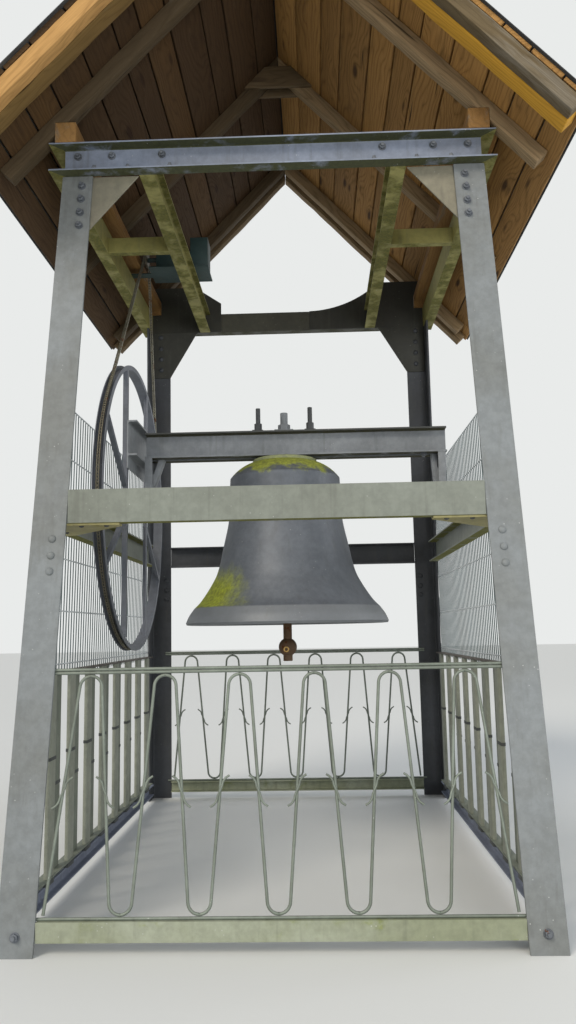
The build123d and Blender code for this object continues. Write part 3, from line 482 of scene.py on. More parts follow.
@dataclass(frozen=True)
class GrainGroup:
    """The group for sawn timber along X, with year rings, fibres, knots, cracks and stains."""

    knot_stretch: tuple[float, float, float] = (1.7, 7.0, 7.0)
    knot_edge: tuple[float, float] = (0.17, 0.08)
    halo_edge: tuple[float, float] = (0.55, 0.05)
    ring_slopes: tuple[float, float] = (34.0, 27.0)
    ring_wander: float = 9.0
    ring_bulge: float = 2.6
    ring_count: float = 3.1
    ring_sharpness: float = 0.6
    ring_share: float = 0.55
    fibre_share: float = 0.45
    tone_share: float = 0.9
    early_wood: float = 0.62
    grey_shade: str = "4b4134"
    grey_depth: float = 0.5
    grey_fibres: tuple[float, float] = (0.35, 0.65)
    grey_density: float = 0.75
    gloss: tuple[float, float] = (0.92, 0.74)
    late_relief: float = 0.6
    knot_relief: float = 0.5

    def build(self, patches: bpy.types.NodeTree) -> bpy.types.NodeTree:
        """Makes the group.

        Args:
            patches: The mask group.

        Returns:
            The group.
        """
        graph, get, out = new_group(
            "grain", "ShaderNodeTree",
            [Port("Place", "Vector"), Port("Tone", value=0.5), Port("Light", "Color"),
             Port("Dark", "Color"), Port("Grey", "Color"), Port("Grey cover", value=0.3),
             Port("Knots", value=1.0), Port("Stain", value=0.4)],
            [Port("Color", "Color"), Port("Roughness"), Port("Height")])
        place = get["Place"]
        knot_far = graph.cells(place * self.knot_stretch, 1.0)
        knot = graph.remap(knot_far, *self.knot_edge) * get["Knots"]
        halo = graph.remap(knot_far, *self.halo_edge) * get["Knots"]
        _, across, through = graph.parts(place)
        across = across * self.ring_slopes[0] + through * self.ring_slopes[1]
        across = across + graph.noise(place, Pattern.WANDER) * self.ring_wander
        across = (across + halo * self.ring_bulge) * self.ring_count
        rings = graph.math("ABSOLUTE", graph.math("SINE", across))
        rings = graph.math("POWER", rings, self.ring_sharpness) * self.ring_share
        fibres = graph.noise(place, Pattern.FIBRES)
        late = rings + graph.spread(fibres, Pattern.FIBRES) * self.fibre_share
        tone = graph.remap(get["Tone"], 0.0, 1.0, 0.0, self.tone_share)
        light = graph.mix(tone, get["Light"], get["Dark"])
        color = graph.mix((1.0 - late) * self.early_wood, light, get["Dark"])
        stain = graph.mask(patches, place, Cover.STAIN, get["Stain"])
        color = graph.layer(color, stain, Tint.STAIN)
        greying = graph.mask(patches, place, Cover.GREYING, get["Grey cover"])
        dark_grey = graph.mix(self.grey_depth, get["Grey"], srgb(self.grey_shade))
        grey = graph.mix(graph.remap(fibres, *self.grey_fibres), dark_grey, get["Grey"])
        color = graph.mix(greying * self.grey_density, color, grey)
        crack = graph.spread(graph.noise(place, Pattern.CRACKS), Pattern.CRACKS)
        color = graph.layer(graph.layer(color, crack, Tint.CRACK), knot, Tint.KNOT)
        graph.fill(out, {"Color": color, "Roughness": graph.remap(late, 0.0, 1.0, *self.gloss),
                         "Height": late * self.late_relief - crack + knot * self.knot_relief})
        return graph.tree


class Effects:
    """The shader groups that the finishes share, each made once."""

    def __init__(self) -> None:
        """Makes the groups."""
        self.patches = PatchGroup().build()
        self.weather = WeatherGroup().build(self.patches)
        self.grain = GrainGroup().build(self.patches)


@dataclass
class Surface:
    """A new material with its shader and the place of the shaded point."""

    name: str
    material: bpy.types.Material = field(init=False)
    graph: Graph = field(init=False)
    shader: bpy.types.Node = field(init=False)
    place: Value = field(init=False)
    facing: Value = field(init=False)

    def __post_init__(self) -> None:
        """Makes the material and clears its default nodes."""
        self.material = bpy.data.materials.new(self.name)
        self.material.use_nodes = True
        self.material.node_tree.nodes.clear()
        self.graph = Graph(self.material.node_tree)
        self.shader = self.graph.node("ShaderNodeBsdfPrincipled")
        self.graph.node("ShaderNodeOutputMaterial", {
            "Surface": Value(self.graph, self.shader.outputs[0])})
        where = self.graph.node("ShaderNodeTexCoord")
        self.place = Value(self.graph, where.outputs["Object"])
        self.facing = Value(self.graph, where.outputs["Normal"])

    def attribute(self, name: str, give: str) -> Value:
        """Reads an attribute of the piece's mesh."""
        return self.graph.out("ShaderNodeAttribute", give=give, attribute_name=name)

    def finish(self, feeds: dict[str, Feed], height: Value, depth: float) -> bpy.types.Material:
        """Feeds the shader and ends the material.

        Args:
            feeds: Value of the shader's inputs, by name.
            height: The relief.
            depth: Its depth in metres.

        Returns:
            The material.
        """
        bump = self.graph.out("ShaderNodeBump", {"Height": height, "Distance": depth,
                                                 "Strength": 1.0})
        self.graph.fill(self.shader, {**feeds, "Normal": bump})
        return self.material


@dataclass(frozen=True)
class Coating:
    """A painted, cast or bare metal finish that has aged outdoors."""

    name: str
    paint: str
    cloud: str
    moss: str = "5c6130"
    moss_cover: float = 0.0
    # Share of the down-facing sides that take the moss colour, partly moss and partly painted
    # shade.
    underside_moss_and_shade: float = 0.0
    rust: float = 0.0
    flecks: float = 0.35
    runs: float = 0.3
    roughness: float = 0.5
    metallic: float = 0.0
    relief: float = 0.0006
    # Height above which the paint darkens, and the width of that change: painted shade along the
    # tops of the yoke channels.
    shade_above: float = 0.0
    shade_edge: float = 0.004

    def aged(self, surface: Surface, effects: Effects) -> dict[str, Value]:
        """Places the weather group with this finish's values.

        Args:
            surface: The material.
            effects: The shared groups.

        Returns:
            The group's outputs by name.
        """
        paint, cloud = srgb(self.paint), srgb(self.cloud)
        # Painted shade: above the given height the paint and its cloud turn darker.
        if self.shade_above:
            graph = surface.graph
            top_shade = graph.remap(graph.parts(surface.place)[2], self.shade_above - self.shade_edge,
                               self.shade_above)
            paint, cloud = (graph.layer(tone, top_shade, Tint.TOP_SHADE) for tone in (paint, cloud))
        return surface.graph.group(effects.weather, {
            "Place": surface.place, "Facing": surface.facing, "Paint": paint, "Cloud": cloud,
            "Moss": srgb(self.moss), "Moss cover": self.moss_cover,
            "Underside moss and shade": self.underside_moss_and_shade, "Rust": self.rust, "Flecks": self.flecks,
            "Runs": self.runs, "Roughness": self.roughness})

    def build(self, effects: Effects) -> bpy.types.Material:
        """Makes the material.

        Args:
            effects: The shared groups.

        Returns:
            The material.
        """
        surface = Surface(self.name)
        aged = self.aged(surface, effects)
        return surface.finish({"Base Color": aged["Color"], "Roughness": aged["Roughness"],
                               "Metallic": self.metallic}, aged["Height"], self.relief)


@dataclass(frozen=True)
class Timber:
    """A sawn timber finish, read from the piece's own grain coordinates."""

    name: str
    light: str
    dark: str
    grey: str = "8c8578"
    grey_cover: float = 0.3
    knots: float = 1.0
    stain: float = 0.35
    relief: float = 0.0016
    specular: float = 0.25

    def build(self, effects: Effects) -> bpy.types.Material:
        """Makes the material.

        Args:
            effects: The shared groups.

        Returns:
            The material.
        """
        surface = Surface(self.name)
        grain = surface.graph.group(effects.grain, {
            "Place": surface.attribute("grain", "Vector"),
            "Tone": surface.attribute("tone", "Fac"), "Light": srgb(self.light),
            "Dark": srgb(self.dark), "Grey": srgb(self.grey), "Grey cover": self.grey_cover,
            "Knots": self.knots, "Stain": self.stain})
        return surface.finish({
            "Base Color": grain["Color"], "Roughness": grain["Roughness"],
            "Specular IOR Level": self.specular}, grain["Height"], self.relief)


@dataclass(frozen=True)
class FeltFinish:
    """Roofing felt: dark mineral grains in lapped strips, with worn places and moss."""

    name: str = "roofing_felt"
    laps_per_metre: float = 1.45
    grain_scale: float = 620.0
    grain_edge: tuple[float, float] = (0.1, 0.55)
    grain_tones: tuple[str, str] = ("56585a", "313335")
    lap_edge: tuple[float, float] = (0.94, 1.0)
    lap_relief: float = -3.0
    worn_share: float = 0.55
    moss_share: float = 0.3
    moss_relief: float = 1.5
    roughness: float = 0.93
    relief: float = 0.0012

    def build(self, effects: Effects) -> bpy.types.Material:
        """Makes the material.

        Args:
            effects: The shared groups.

        Returns:
            The material.
        """
        surface = Surface(self.name)
        graph, place = surface.graph, surface.place
        grains = graph.cells(place, self.grain_scale)
        color = graph.mix(graph.remap(grains, *self.grain_edge), *map(srgb, self.grain_tones))
        lap = graph.math("FRACT", graph.parts(place)[2] * self.laps_per_metre)
        color = graph.layer(color, graph.remap(lap, *self.lap_edge), Tint.LAP)
        worn = graph.mask(effects.patches, place, Cover.WORN, self.worn_share)
        moss = graph.mask(effects.patches, place, Cover.CUSHION, self.moss_share)
        color = graph.layer(graph.layer(color, worn, Tint.WORN_FELT), moss, Tint.FELT_MOSS)
        return surface.finish({"Base Color": color, "Roughness": self.roughness},
                              grains + moss * self.moss_relief + lap * self.lap_relief,
                              self.relief)


@dataclass(frozen=True)
class BellFinish(Coating):
    """Satin cast steel, with turning marks, stains and moss on crown and flank."""

    crown_moss: tuple[float, float] = (2.285, 2.325)
    crown_edge: tuple[float, float] = (2.378, 2.384)
    flank_centre: tuple[float, float, float] = (-0.53, -0.16, 1.50)
    flank_shape: tuple[float, float, float] = (1.0, 0.75, 1.55)
    flank_moss: tuple[float, float] = (0.42, 0.2)
    above_lip: tuple[float, float] = (1.458, 1.470)
    lip_edge: tuple[float, float] = (1.466, 1.458)
    ragged_reach: float = 0.34
    crown_ragged: float = 0.6
    lip_ragged: float = 0.06
    crown_density: float = 0.85
    moss_density: float = 0.92
    moss_tones: tuple[str, str] = ("7c8126", "b0b931")
    moss_dulling: float = 0.3
    moss_relief: float = 1.2
    turning_relief: float = 0.35

    def build(self, effects: Effects) -> bpy.types.Material:
        """Makes the material.

        Args:
            effects: The shared groups.

        Returns:
            The material.
        """
        surface = Surface(self.name)
        graph, place = surface.graph, surface.place
        level = graph.parts(place)[2]
        aged = self.aged(surface, effects)
        ragged = (graph.noise(place, Pattern.RAGGED) - 0.5) * self.ragged_reach
        crown = graph.remap(level + ragged * self.crown_ragged, *self.crown_moss)
        reach = (place - self.flank_centre) * self.flank_shape
        length = graph.out("ShaderNodeVectorMath", {0: reach}, 1, operation="LENGTH")
        flank = (graph.remap(length - ragged, *self.flank_moss)
                 * graph.remap(level + ragged * self.lip_ragged, *self.above_lip))
        moss = graph.math("MAXIMUM", crown * self.crown_density, flank)
        tone = graph.mix(graph.spread(graph.noise(place, Pattern.LICHEN), Pattern.LICHEN),
                         *map(srgb, self.moss_tones))
        rim = graph.math("MAXIMUM", graph.remap(level, *self.lip_edge),
                         graph.remap(level, *self.crown_edge))
        color = graph.mix(moss * self.moss_density, aged["Color"], tone)
        color = graph.layer(color, rim, Tint.BRIGHT_RIM)
        rough = graph.math("MINIMUM", aged["Roughness"] + moss * self.moss_dulling, 1.0)
        turning = graph.noise(place, Pattern.TURNING) * self.turning_relief
        return surface.finish({"Base Color": color, "Roughness": rough,
                               "Metallic": self.metallic},
                              aged["Height"] + turning + moss * self.moss_relief, self.relief)


class Finish(Enum):
    """Every finish of the part."""

    LEG = Coating("leg_grey_paint", "7c8183", "707371", underside_moss_and_shade=0.5, rust=0.04, flecks=0.6,
                  runs=0.24)
    GUSSET = Coating("gusset_paint", "85816f", "777262", moss_cover=0.12, rust=0.08, flecks=0.4)
    RING = Coating("ring_blue_grey_paint", "848d9e", "737a87", moss="474a2c", underside_moss_and_shade=1.2,
                   rust=0.07, flecks=0.5)
    INNER = Coating("inner_olive_paint", "9a9455", "807b45", moss="6b682c", moss_cover=0.34,
                    underside_moss_and_shade=0.7, rust=0.12, flecks=0.4, roughness=0.6)
    # The rear finishes are darker copies of the frame paint: painted shade on the rear of the
    # frame.
    REAR = Coating("rear_shaded_paint", "4d4c40", "3e3d34", moss="43432a", moss_cover=0.3,
                   underside_moss_and_shade=0.6, rust=0.1, flecks=0.3)
    REAR_PLATE = Coating("rear_plate_shaded_paint", "383830", "2b2b25", moss="3a3a26", moss_cover=0.25,
                         rust=0.12, flecks=0.25)
    REAR_LEG = Coating("rear_leg_shaded_paint", "44474c", "35373a", moss="43452e", moss_cover=0.2,
                       rust=0.08, flecks=0.3)
    MIDDLE = Coating("middle_beam_paint", "7d8278", "73776d", moss="77762f", moss_cover=0.08,
                     underside_moss_and_shade=0.9, rust=0.06, flecks=0.45)
    CORNER = Coating("corner_plate_paint", "aaa16c", "8f8757", moss="8a8032", moss_cover=0.3,
                     underside_moss_and_shade=0.45, rust=0.1, flecks=0.5)
    BASE = Coating("base_beam_paint", "9ba08d", "868b72", moss="87913f", moss_cover=0.44,
                   underside_moss_and_shade=0.5, rust=0.08, flecks=0.55, roughness=0.6)
    BASE_SIDE = Coating("side_base_paint", "7d8494", "6c7282", moss="6d7a43", moss_cover=0.2,
                        underside_moss_and_shade=0.4, rust=0.08, flecks=0.4, roughness=0.6)
    HOUSING = Coating("bearing_casting", "4f5254", "3d3f3f", moss="43452c", moss_cover=0.2,
                      rust=0.2, roughness=0.55, relief=0.0012)
    RAIL = Coating("rail_galvanised", "7e867c", "6f766c", moss="6c6a4a", moss_cover=0.1, rust=0.12,
                   flecks=0.6, roughness=0.45, metallic=0.3, relief=0.0004)
    SIDE_RAIL = Coating("side_rail_paint", "55504a", "474038", moss="5a5a3c", moss_cover=0.2,
                        rust=0.3, flecks=0.8, roughness=0.6)
    SLAT = Coating("slat_light_paint", "8f9284", "7e8275", moss="6b7045", moss_cover=0.14,
                   rust=0.03, flecks=0.4, roughness=0.6)
    # A darker copy of the slat paint, used for the outer slats and the low strips: painted shade.
    SLAT_SHADED = Coating("slat_shaded_paint", "757b6e", "666c60", moss="575d3c", moss_cover=0.14,
                        flecks=0.3, roughness=0.6)
    BAND = Coating("slat_band", "4a4d4c", "3b3e3d", flecks=0.15, roughness=0.7)
    WIRE = Coating("mesh_green_wire", "2e484a", "263d3c", moss="40583c", moss_cover=0.1,
                   flecks=0.3, roughness=0.55)
    # A near-white copy of the mesh wire for the rows: painted highlight along the horizontal wires.
    WIRE_HIGHLIGHT = Coating("mesh_wire_highlight", "dbe0e2", "c6cccf", rust=0.04, roughness=0.45,
                          metallic=0.3)
    BOLT = Coating("bolt_steel", "6f747b", "585c61", rust=0.22, flecks=0.4, roughness=0.45,
                   metallic=0.2)
    YOKE = Coating("yoke_paint", "8c9094", "7b7f82", moss="5c5c33", moss_cover=0.12,
                   underside_moss_and_shade=0.4, rust=0.1, flecks=0.55)
    # The yoke channels are darkened along their tops as painted shade.
    YOKE_CHANNEL = Coating("yoke_channel_paint", "8c9094", "7b7f82", moss="4c4a36", moss_cover=0.1,
                           underside_moss_and_shade=0.85, rust=0.1, flecks=0.55, shade_above=2.572)
    WHEEL = Coating("wheel_paint", "6c7079", "565a61", moss="50523a", moss_cover=0.15, rust=0.16,
                    flecks=0.4)
    DRIVE = Coating("drive_paint", "2c4443", "223635", moss="2f3a28", moss_cover=0.2, rust=0.08,
                    flecks=0.2, roughness=0.5)
    CHAIN = Coating("chain_steel", "8b8878", "6c675a", rust=0.35, flecks=0.2, roughness=0.4,
                    metallic=0.7, relief=0.0003)
    CLAPPER = Coating("clapper_iron", "5a4a38", "6c513a", rust=0.4, flecks=0.15, roughness=0.6,
                      metallic=0.25, relief=0.001)
    # A pale gold ring on the front of the clapper's ball: painted highlight.
    CLAPPER_RING = Coating("clapper_highlight_ring", "c9a866", "b08c52", rust=0.1, roughness=0.35,
                           metallic=0.6, relief=0.0004)
    BOARDING = Timber("roof_boarding", "b0844a", "2c2017", "75664f", 0.3, 1.0, 0.42)
    RAFTER = Timber("rafter_timber", "a08866", "3d3222", "837a69", 0.4, 0.5, 0.3)
    # A light timber that stands for sunlit verge wood: painted sunlight.
    VERGE_LIT = Timber("verge_sunlit_timber", "c79a5e", "7a5833", "a89878", 0.25, 0.8, 0.3)
    VERGE_GREY = Timber("verge_weathered_timber", "6e5f45", "3f3425", "857d6e", 0.6, 0.6, 0.35)
    VERGE_OLIVE = Timber("verge_olive_timber", "83683a", "4a3920", "756c52", 0.4, 0.8, 0.3)
    # A golden timber that stands for sunlit verge wood: painted sunlight.
    VERGE_SUNLIT_GOLD = Timber("verge_sunlit_gold_timber", "d8a338", "80591f", "8a7f5f", 0.2, 0.8, 0.25)
    PLATE = Timber("wall_plate_timber", "b58a50", "6a4e30", "8b8375", 0.45, 0.4, 0.3)
    FELT = FeltFinish()
    BELL = BellFinish("bell_cast_steel", "666b72", "595e65", moss="6b6f2c", rust=0.06,
                      flecks=0.4, runs=0.25, roughness=0.42, metallic=0.25, relief=0.0009)


class Shape(Enum):
    """Which edges of a mesh a bevel takes."""

    CONVEX = 1
    CONCAVE = -1


def bevel(shape: bmesh.types.BMesh, which: Shape, width: float, steps: int) -> None:
    """Rounds the sharp edges of a mesh.

    Args:
        shape: The mesh, changed in place.
        which: Outer or inner edges.
        width: Width of the rounding.
        steps: Faces across the rounding.
    """
    edges = [e for e in shape.edges
             if len(e.link_faces) == 2 and e.calc_face_angle_signed(0.0) * which.value > SHARP]
    if edges and width > 0:
        bmesh.ops.bevel(shape, geom=edges, offset=width, offset_type="OFFSET", segments=steps,
                        profile=0.5, affect="EDGES", clamp_overlap=True)


def lathe(profile: Sequence[tuple[float, float]], steps: int, centre: Vector,
          axis: str) -> bmesh.types.BMesh:
    """Turns a profile about an axis.

    Args:
        profile: Radius and place along the axis, in the order that closes the shape.
        steps: Faces round the axis.
        centre: A point of the axis.
        axis: "Y" or "Z".

    Returns:
        The closed mesh.
    """
    shape = bmesh.new()
    turn = {"Z": Matrix.Identity(3), "Y": Matrix(((0, 1, 0), (0, 0, 1), (1, 0, 0)))}[axis]
    rings = []
    for radius, along in profile:
        if radius < MERGED:
            rings.append([shape.verts.new(centre + turn @ Vector((0, 0, along)))] * steps)
            continue
        ring = []
        for i in range(steps):
            angle = 2 * math.pi * i / steps
            local = Vector((radius * math.cos(angle), radius * math.sin(angle), along))
            ring.append(shape.verts.new(centre + turn @ local))
        rings.append(ring)
    closed = profile[0][0] >= MERGED or profile[-1][0] >= MERGED
    pairs = list(zip(rings, rings[1:])) + ([(rings[-1], rings[0])] if closed else [])
    for low, high in pairs:
        for i in range(steps):
            j = (i + 1) % steps
            corners = list(dict.fromkeys((low[i], low[j], high[j], high[i])))
            if len(corners) > 2:
                shape.faces.new(corners)
    bmesh.ops.recalc_face_normals(shape, faces=shape.faces)
    return shape


def bulged(start: tuple[float, float], stop: tuple[float, float], rise: float,
           steps: int) -> list[tuple[float, float]]:
    """Gives points of a shallow curve between two points, raised in its middle.

    Args:
        start: First point.
        stop: Last point.
        rise: How far the middle is raised.
        steps: Spans of the curve.

    Returns:
        The points.
    """
    first, last = Vector(start), Vector(stop)
    across = Vector((first.y - last.y, last.x - first.x)).normalized()
    points = []
    for i in range(steps + 1):
        t = i / steps
        points.append(tuple(first.lerp(last, t) + across * (4 * rise * t * (1 - t))))
    return points


def spline(points: Sequence[tuple[float, float]], steps: int) -> list[tuple[float, float]]:
    """Runs a smooth curve through points of a profile.

    Args:
        points: The points that it passes.
        steps: Spans between two points.

    Returns:
        The points of the curve.
    """
    path = [Vector(p) for p in points]
    path = [2 * path[0] - path[1], *path, 2 * path[-1] - path[-2]]
    curve = []
    for a, b, c, d in zip(path, path[1:], path[2:], path[3:]):
        for i in range(steps):
            t = i / steps
            point = 0.5 * (2 * b + (c - a) * t + (2 * a - 5 * b + 4 * c - d) * t ** 2
                           + (3 * b - a - 3 * c + d) * t ** 3)
            curve.append((point.x, point.y))
    return curve + [tuple(points[-1])]


def put_in_scene(name: str, data: bpy.types.ID) -> bpy.types.Object:
    """Makes an object from its data and links it to the scene.

    Args:
        name: Name of the object.
        data: Its mesh, lamp or camera.

    Returns:
        The object.
    """
    item = bpy.data.objects.new(name, data)
    bpy.context.scene.collection.objects.link(item)
    return item


class Workshop:
    """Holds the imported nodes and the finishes, and hands each finished piece over."""

    def __init__(self, nodes: dict[str, bpy.types.Object]) -> None:
        """Makes every finish.

        Args:
            nodes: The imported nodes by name.
        """
        self.nodes = nodes
        effects = Effects()
        self.finishes = {finish: finish.value.build(effects) for finish in Finish}

    def merged(self, node: str) -> bmesh.types.BMesh:
        """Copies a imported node, merged into whole faces.

        Args:
            node: Name of the node.

        Returns:
            The copy.
        """
        shape = bmesh.new()
        shape.from_mesh(self.nodes[node].data)
        bmesh.ops.remove_doubles(shape, verts=shape.verts, dist=MERGED)
        bmesh.ops.dissolve_limit(shape, angle_limit=FLAT, verts=shape.verts, edges=shape.edges)
        return shape

    def seat(self, node: str, start: Sequence[float],
             aim: Sequence[float]) -> tuple[Vector, Vector]:
        """Finds where a fastener sits.

        Args:
            node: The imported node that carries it.
            start: A point away from the node.
            aim: Direction from there to the node.

        Returns:
            The place on the node and the direction of its face.
        """
        shape = self.merged(node)
        place, normal, _, _ = BVHTree.FromBMesh(shape).ray_cast(Vector(start), Vector(aim))
        shape.free()
        if place is None:
            raise ValueError(f"{node} isn't met from {tuple(start)}")
        return place, normal

    def mesh(self, name: str, shape: bmesh.types.BMesh, smooth: float = 0.0) -> bpy.types.Object:
        """Turns a mesh under construction into a piece.

        Args:
            name: Name of the piece.
            shape: Its mesh, which is freed.
            smooth: Largest angle in degrees that is shaded smooth.

        Returns:
            The piece.
        """
        mesh = bpy.data.meshes.new(name)
        shape.to_mesh(mesh)
        shape.free()
        if smooth:
            mesh.shade_smooth()
            mesh.set_sharp_from_angle(angle=math.radians(smooth))
        return put_in_scene(name, mesh)

    def dress(self, node: str, ending: str, slot: Slot, finish: Finish, body: Body = Body.FRAME,
              root: float = 0.0, chamfer: float = 0.0, smooth: float = 0.0) -> None:
        """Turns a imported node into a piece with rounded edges.

        Args:
            node: Name of the node.
            ending: What the piece's name adds to it.
            slot: The record's finish that it belongs to.
            finish: Its material.
            body: The body that it moves with.
            root: Radius of the fillets in its inner corners.
            chamfer: Width of the rounding on its outer edges.
            smooth: Largest angle in degrees that is shaded smooth.
        """
        shape = self.merged(node)
        bevel(shape, Shape.CONCAVE, root, 3)
        bevel(shape, Shape.CONVEX, chamfer, 2)
        self.publish(self.mesh(f"{node}_{ending}", shape, smooth), slot, finish, node, body=body)

    def grow(self, name: str, seed: bpy.types.Mesh, tree: bpy.types.NodeTree, finish: Finish,
             values: dict[str, float]) -> bpy.types.Object:
        """Runs a geometry tree on a seed mesh and keeps the result as a plain piece.

        Args:
            name: Name of the piece.
            seed: Mesh of points or edges that the tree starts from.
            tree: The geometry tree.
            finish: The piece's material.
            values: Value of each other named input.

        Returns:
            The piece.
        """
        carrier = put_in_scene(name + "_seed", seed)
        modifier = carrier.modifiers.new("grow", "NODES")
        modifier.node_group = tree
        given = {"Material": self.finishes[finish], **values}
        for item in tree.interface.items_tree:
            if item.item_type == "SOCKET" and item.in_out == "INPUT" and item.name in given:
                modifier[item.identifier] = given[item.name]
        bpy.context.view_layer.update()
        graph = bpy.context.evaluated_depsgraph_get()
        mesh = bpy.data.meshes.new_from_object(carrier.evaluated_get(graph))
        mesh.name = name
        bpy.data.objects.remove(carrier)
        bpy.data.meshes.remove(seed)
        return put_in_scene(name, mesh)

    def plant(self, name: str, seed: bpy.types.Mesh, tree: bpy.types.NodeTree, slot: Slot,
              finish: Finish, values: dict[str, float], *replaced: str,
              body: Body = Body.FRAME) -> None:
        """Grows a piece and hands it over, with the arguments of grow and publish."""
        self.publish(self.grow(name, seed, tree, finish, values), slot, finish, *replaced,
                     body=body)

    def publish(self, piece: bpy.types.Object, slot: Slot, finish: Finish, *replaced: str,
                body: Body = Body.FRAME) -> None:
        """Dresses a piece and hands it to its body.

        Args:
            piece: The piece.
            slot: The record's finish that it belongs to; not used.
            finish: Its material.
            replaced: The nodes that it stands for.
            body: The body that it moves with.
        """
        piece.data.materials.clear()
        piece.data.materials.append(self.finishes[finish])
        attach(piece, body.value)
        if replaced:
            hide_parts(*replaced)
        LOG.info("%s: %d faces", piece.name, len(piece.data.polygons))


def edge_mesh(paths: Iterable[Sequence[Vector]], closed: bool = False) -> bpy.types.Mesh:
    """Makes a mesh of edges along paths.

    Args:
        paths: Points of each path.
        closed: Whether each path ends where it starts.

    Returns:
        The mesh.
    """
    points, edges = [], []
    for path in paths:
        first = len(points)
        points.extend(path)
        edges.extend((i, i + 1) for i in range(first, len(points) - 1))
        if closed:
            edges.append((len(points) - 1, first))
    mesh = bpy.data.meshes.new("paths")
    mesh.from_pydata(points, edges, [])
    return mesh


def point_mesh(points: Iterable[tuple[Sequence[float], Sequence[float]]]) -> bpy.types.Mesh:
    """Makes a mesh of points, each with the direction that it faces.

    Args:
        points: Place and direction of each point.

    Returns:
        The mesh.
    """
    rows = list(points)
    mesh = bpy.data.meshes.new("points")
    mesh.from_pydata([tuple(place) for place, _ in rows], [], [])
    facing = mesh.attributes.new("facing", "FLOAT_VECTOR", "POINT")
    for item, (_, direction) in zip(facing.data, rows):
        item.vector = direction
    return mesh


def geometry_group(name: str, inputs: Iterable[Port]) -> tuple[
        Graph, dict[str, Value], Callable[[Value], None]]:
    """Starts a geometry tree that ends in Realize Instances and Set Material.

    Args:
        name: Name of the tree.
        inputs: Its inputs after the seed geometry and the material.

    Returns:
        The graph, its inputs by name, and a call that takes the finished geometry.
    """
    ports = [Port("Seed", "Geometry"), Port("Material", "Material"), *inputs]
    graph, get, out = new_group(name, "GeometryNodeTree", ports, [Port("Geometry", "Geometry")])

    def finish(geometry: Value) -> None:
        """Realizes the instances, sets the material and ends the tree.

        Args:
            geometry: The finished geometry.
        """
        real = graph.out("GeometryNodeRealizeInstances", {0: geometry})
        graph.fill(out, {0: graph.out("GeometryNodeSetMaterial", {
            "Geometry": real, "Material": get["Material"]})})

    return graph, get, finish


def swept(graph: Graph, seed: Value, section: Value, bend: Feed, steps: Feed) -> Value:
    """Rounds the corners of paths and runs a section along them.

    Args:
        graph: The tree.
        seed: The edges of the paths.
        section: The section.
        bend: Radius of the corners.
        steps: Spans of each corner.

    Returns:
        The bars.
    """
    curve = graph.out("GeometryNodeMeshToCurve", {0: seed})
    bent = graph.out("GeometryNodeFilletCurve", {
        "Curve": curve, "Count": steps, "Radius": bend, "Limit Radius": True}, mode="POLY")
    return graph.out("GeometryNodeCurveToMesh", {0: bent, "Profile Curve": section,
                                                 "Fill Caps": True})


def rectangle(graph: Graph, width: Feed, height: Feed, rounding: Feed) -> Value:
    """Makes a rectangular section with rounded corners.

    Args:
        graph: The tree.
        width: Its width.
        height: Its height.
        rounding: Radius of the corners.

    Returns:
        The section.
    """
    section = graph.out("GeometryNodeCurvePrimitiveQuadrilateral", {
        "Width": width, "Height": height}, mode="RECTANGLE")
    return graph.out("GeometryNodeFilletCurve", {"Curve": section, "Count": 2,
                                                 "Radius": rounding}, mode="POLY")


def build_round_bars() -> bpy.types.NodeTree:
    """Makes the tree that bends round bars along the edges of its seed."""
    graph, get, finish = geometry_group("round_bars", [
        Port("Radius", value=0.007), Port("Bend", value=0.0), Port("Bend steps", "Int", 6),
        Port("Sides", "Int", 12)])
    circle = graph.out("GeometryNodeCurvePrimitiveCircle", {
        "Resolution": get["Sides"], "Radius": get["Radius"]})
    finish(swept(graph, get["Seed"], circle, get["Bend"], get["Bend steps"]))
    return graph.tree


def build_flat_bars() -> bpy.types.NodeTree:
    """Makes the tree that runs flat bars along the edges of its seed."""
    graph, get, finish = geometry_group("flat_bars", [
        Port("Width", value=0.02), Port("Thickness", value=0.004), Port("Bend", value=0.0),
        Port("Round", value=0.0005)])
    section = rectangle(graph, get["Thickness"], get["Width"], get["Round"])
    finish(swept(graph, get["Seed"], section, get["Bend"], 5))
    return graph.tree


def instance_on(graph: Graph, points: Value, head: Value, turn: float, number: int) -> Value:
    """Puts a head on each point, turned to its facing direction and spun at random.

    Args:
        graph: The tree.
        points: The points.
        head: The geometry that is put on each.
        turn: Largest spin about the facing direction.
        number: Seed of the random spins.

    Returns:
        The instances.
    """
    aligned = graph.out("FunctionNodeAlignRotationToVector", {
        "Vector": graph.read("facing", "FLOAT_VECTOR")}, axis="Z")
    put = graph.out("GeometryNodeInstanceOnPoints", {
        "Points": points, "Instance": head, "Rotation": aligned})
    spin = graph.out("FunctionNodeRandomValue", {2: 0.0, 3: turn, "Seed": number}, 1,
                     data_type="FLOAT")
    return graph.out("GeometryNodeRotateInstances", {
        "Instances": put, "Rotation": graph.whole(z=spin), "Local Space": True})


def cylinder(graph: Graph, sides: int, radius: Feed, depth: Feed) -> Value:
    """Makes a cylinder about its own middle."""
    return graph.out("GeometryNodeMeshCylinder", {
        "Vertices": sides, "Radius": radius, "Depth": depth}, "Mesh")


def moved(graph: Graph, geometry: Value, place: Value) -> Value:
    """Moves geometry by a vector."""
    return graph.out("GeometryNodeTransform", {"Geometry": geometry, "Translation": place})


def joined(graph: Graph, *parts: Value) -> Value:
    """Joins several geometries.

    Args:
        graph: The tree.
        parts: The geometries.

    Returns:
        Them as one.
    """
    node = graph.node("GeometryNodeJoinGeometry")
    for part in parts:
        graph.fill(node, {0: part})
    return Value(graph, node.outputs[0])


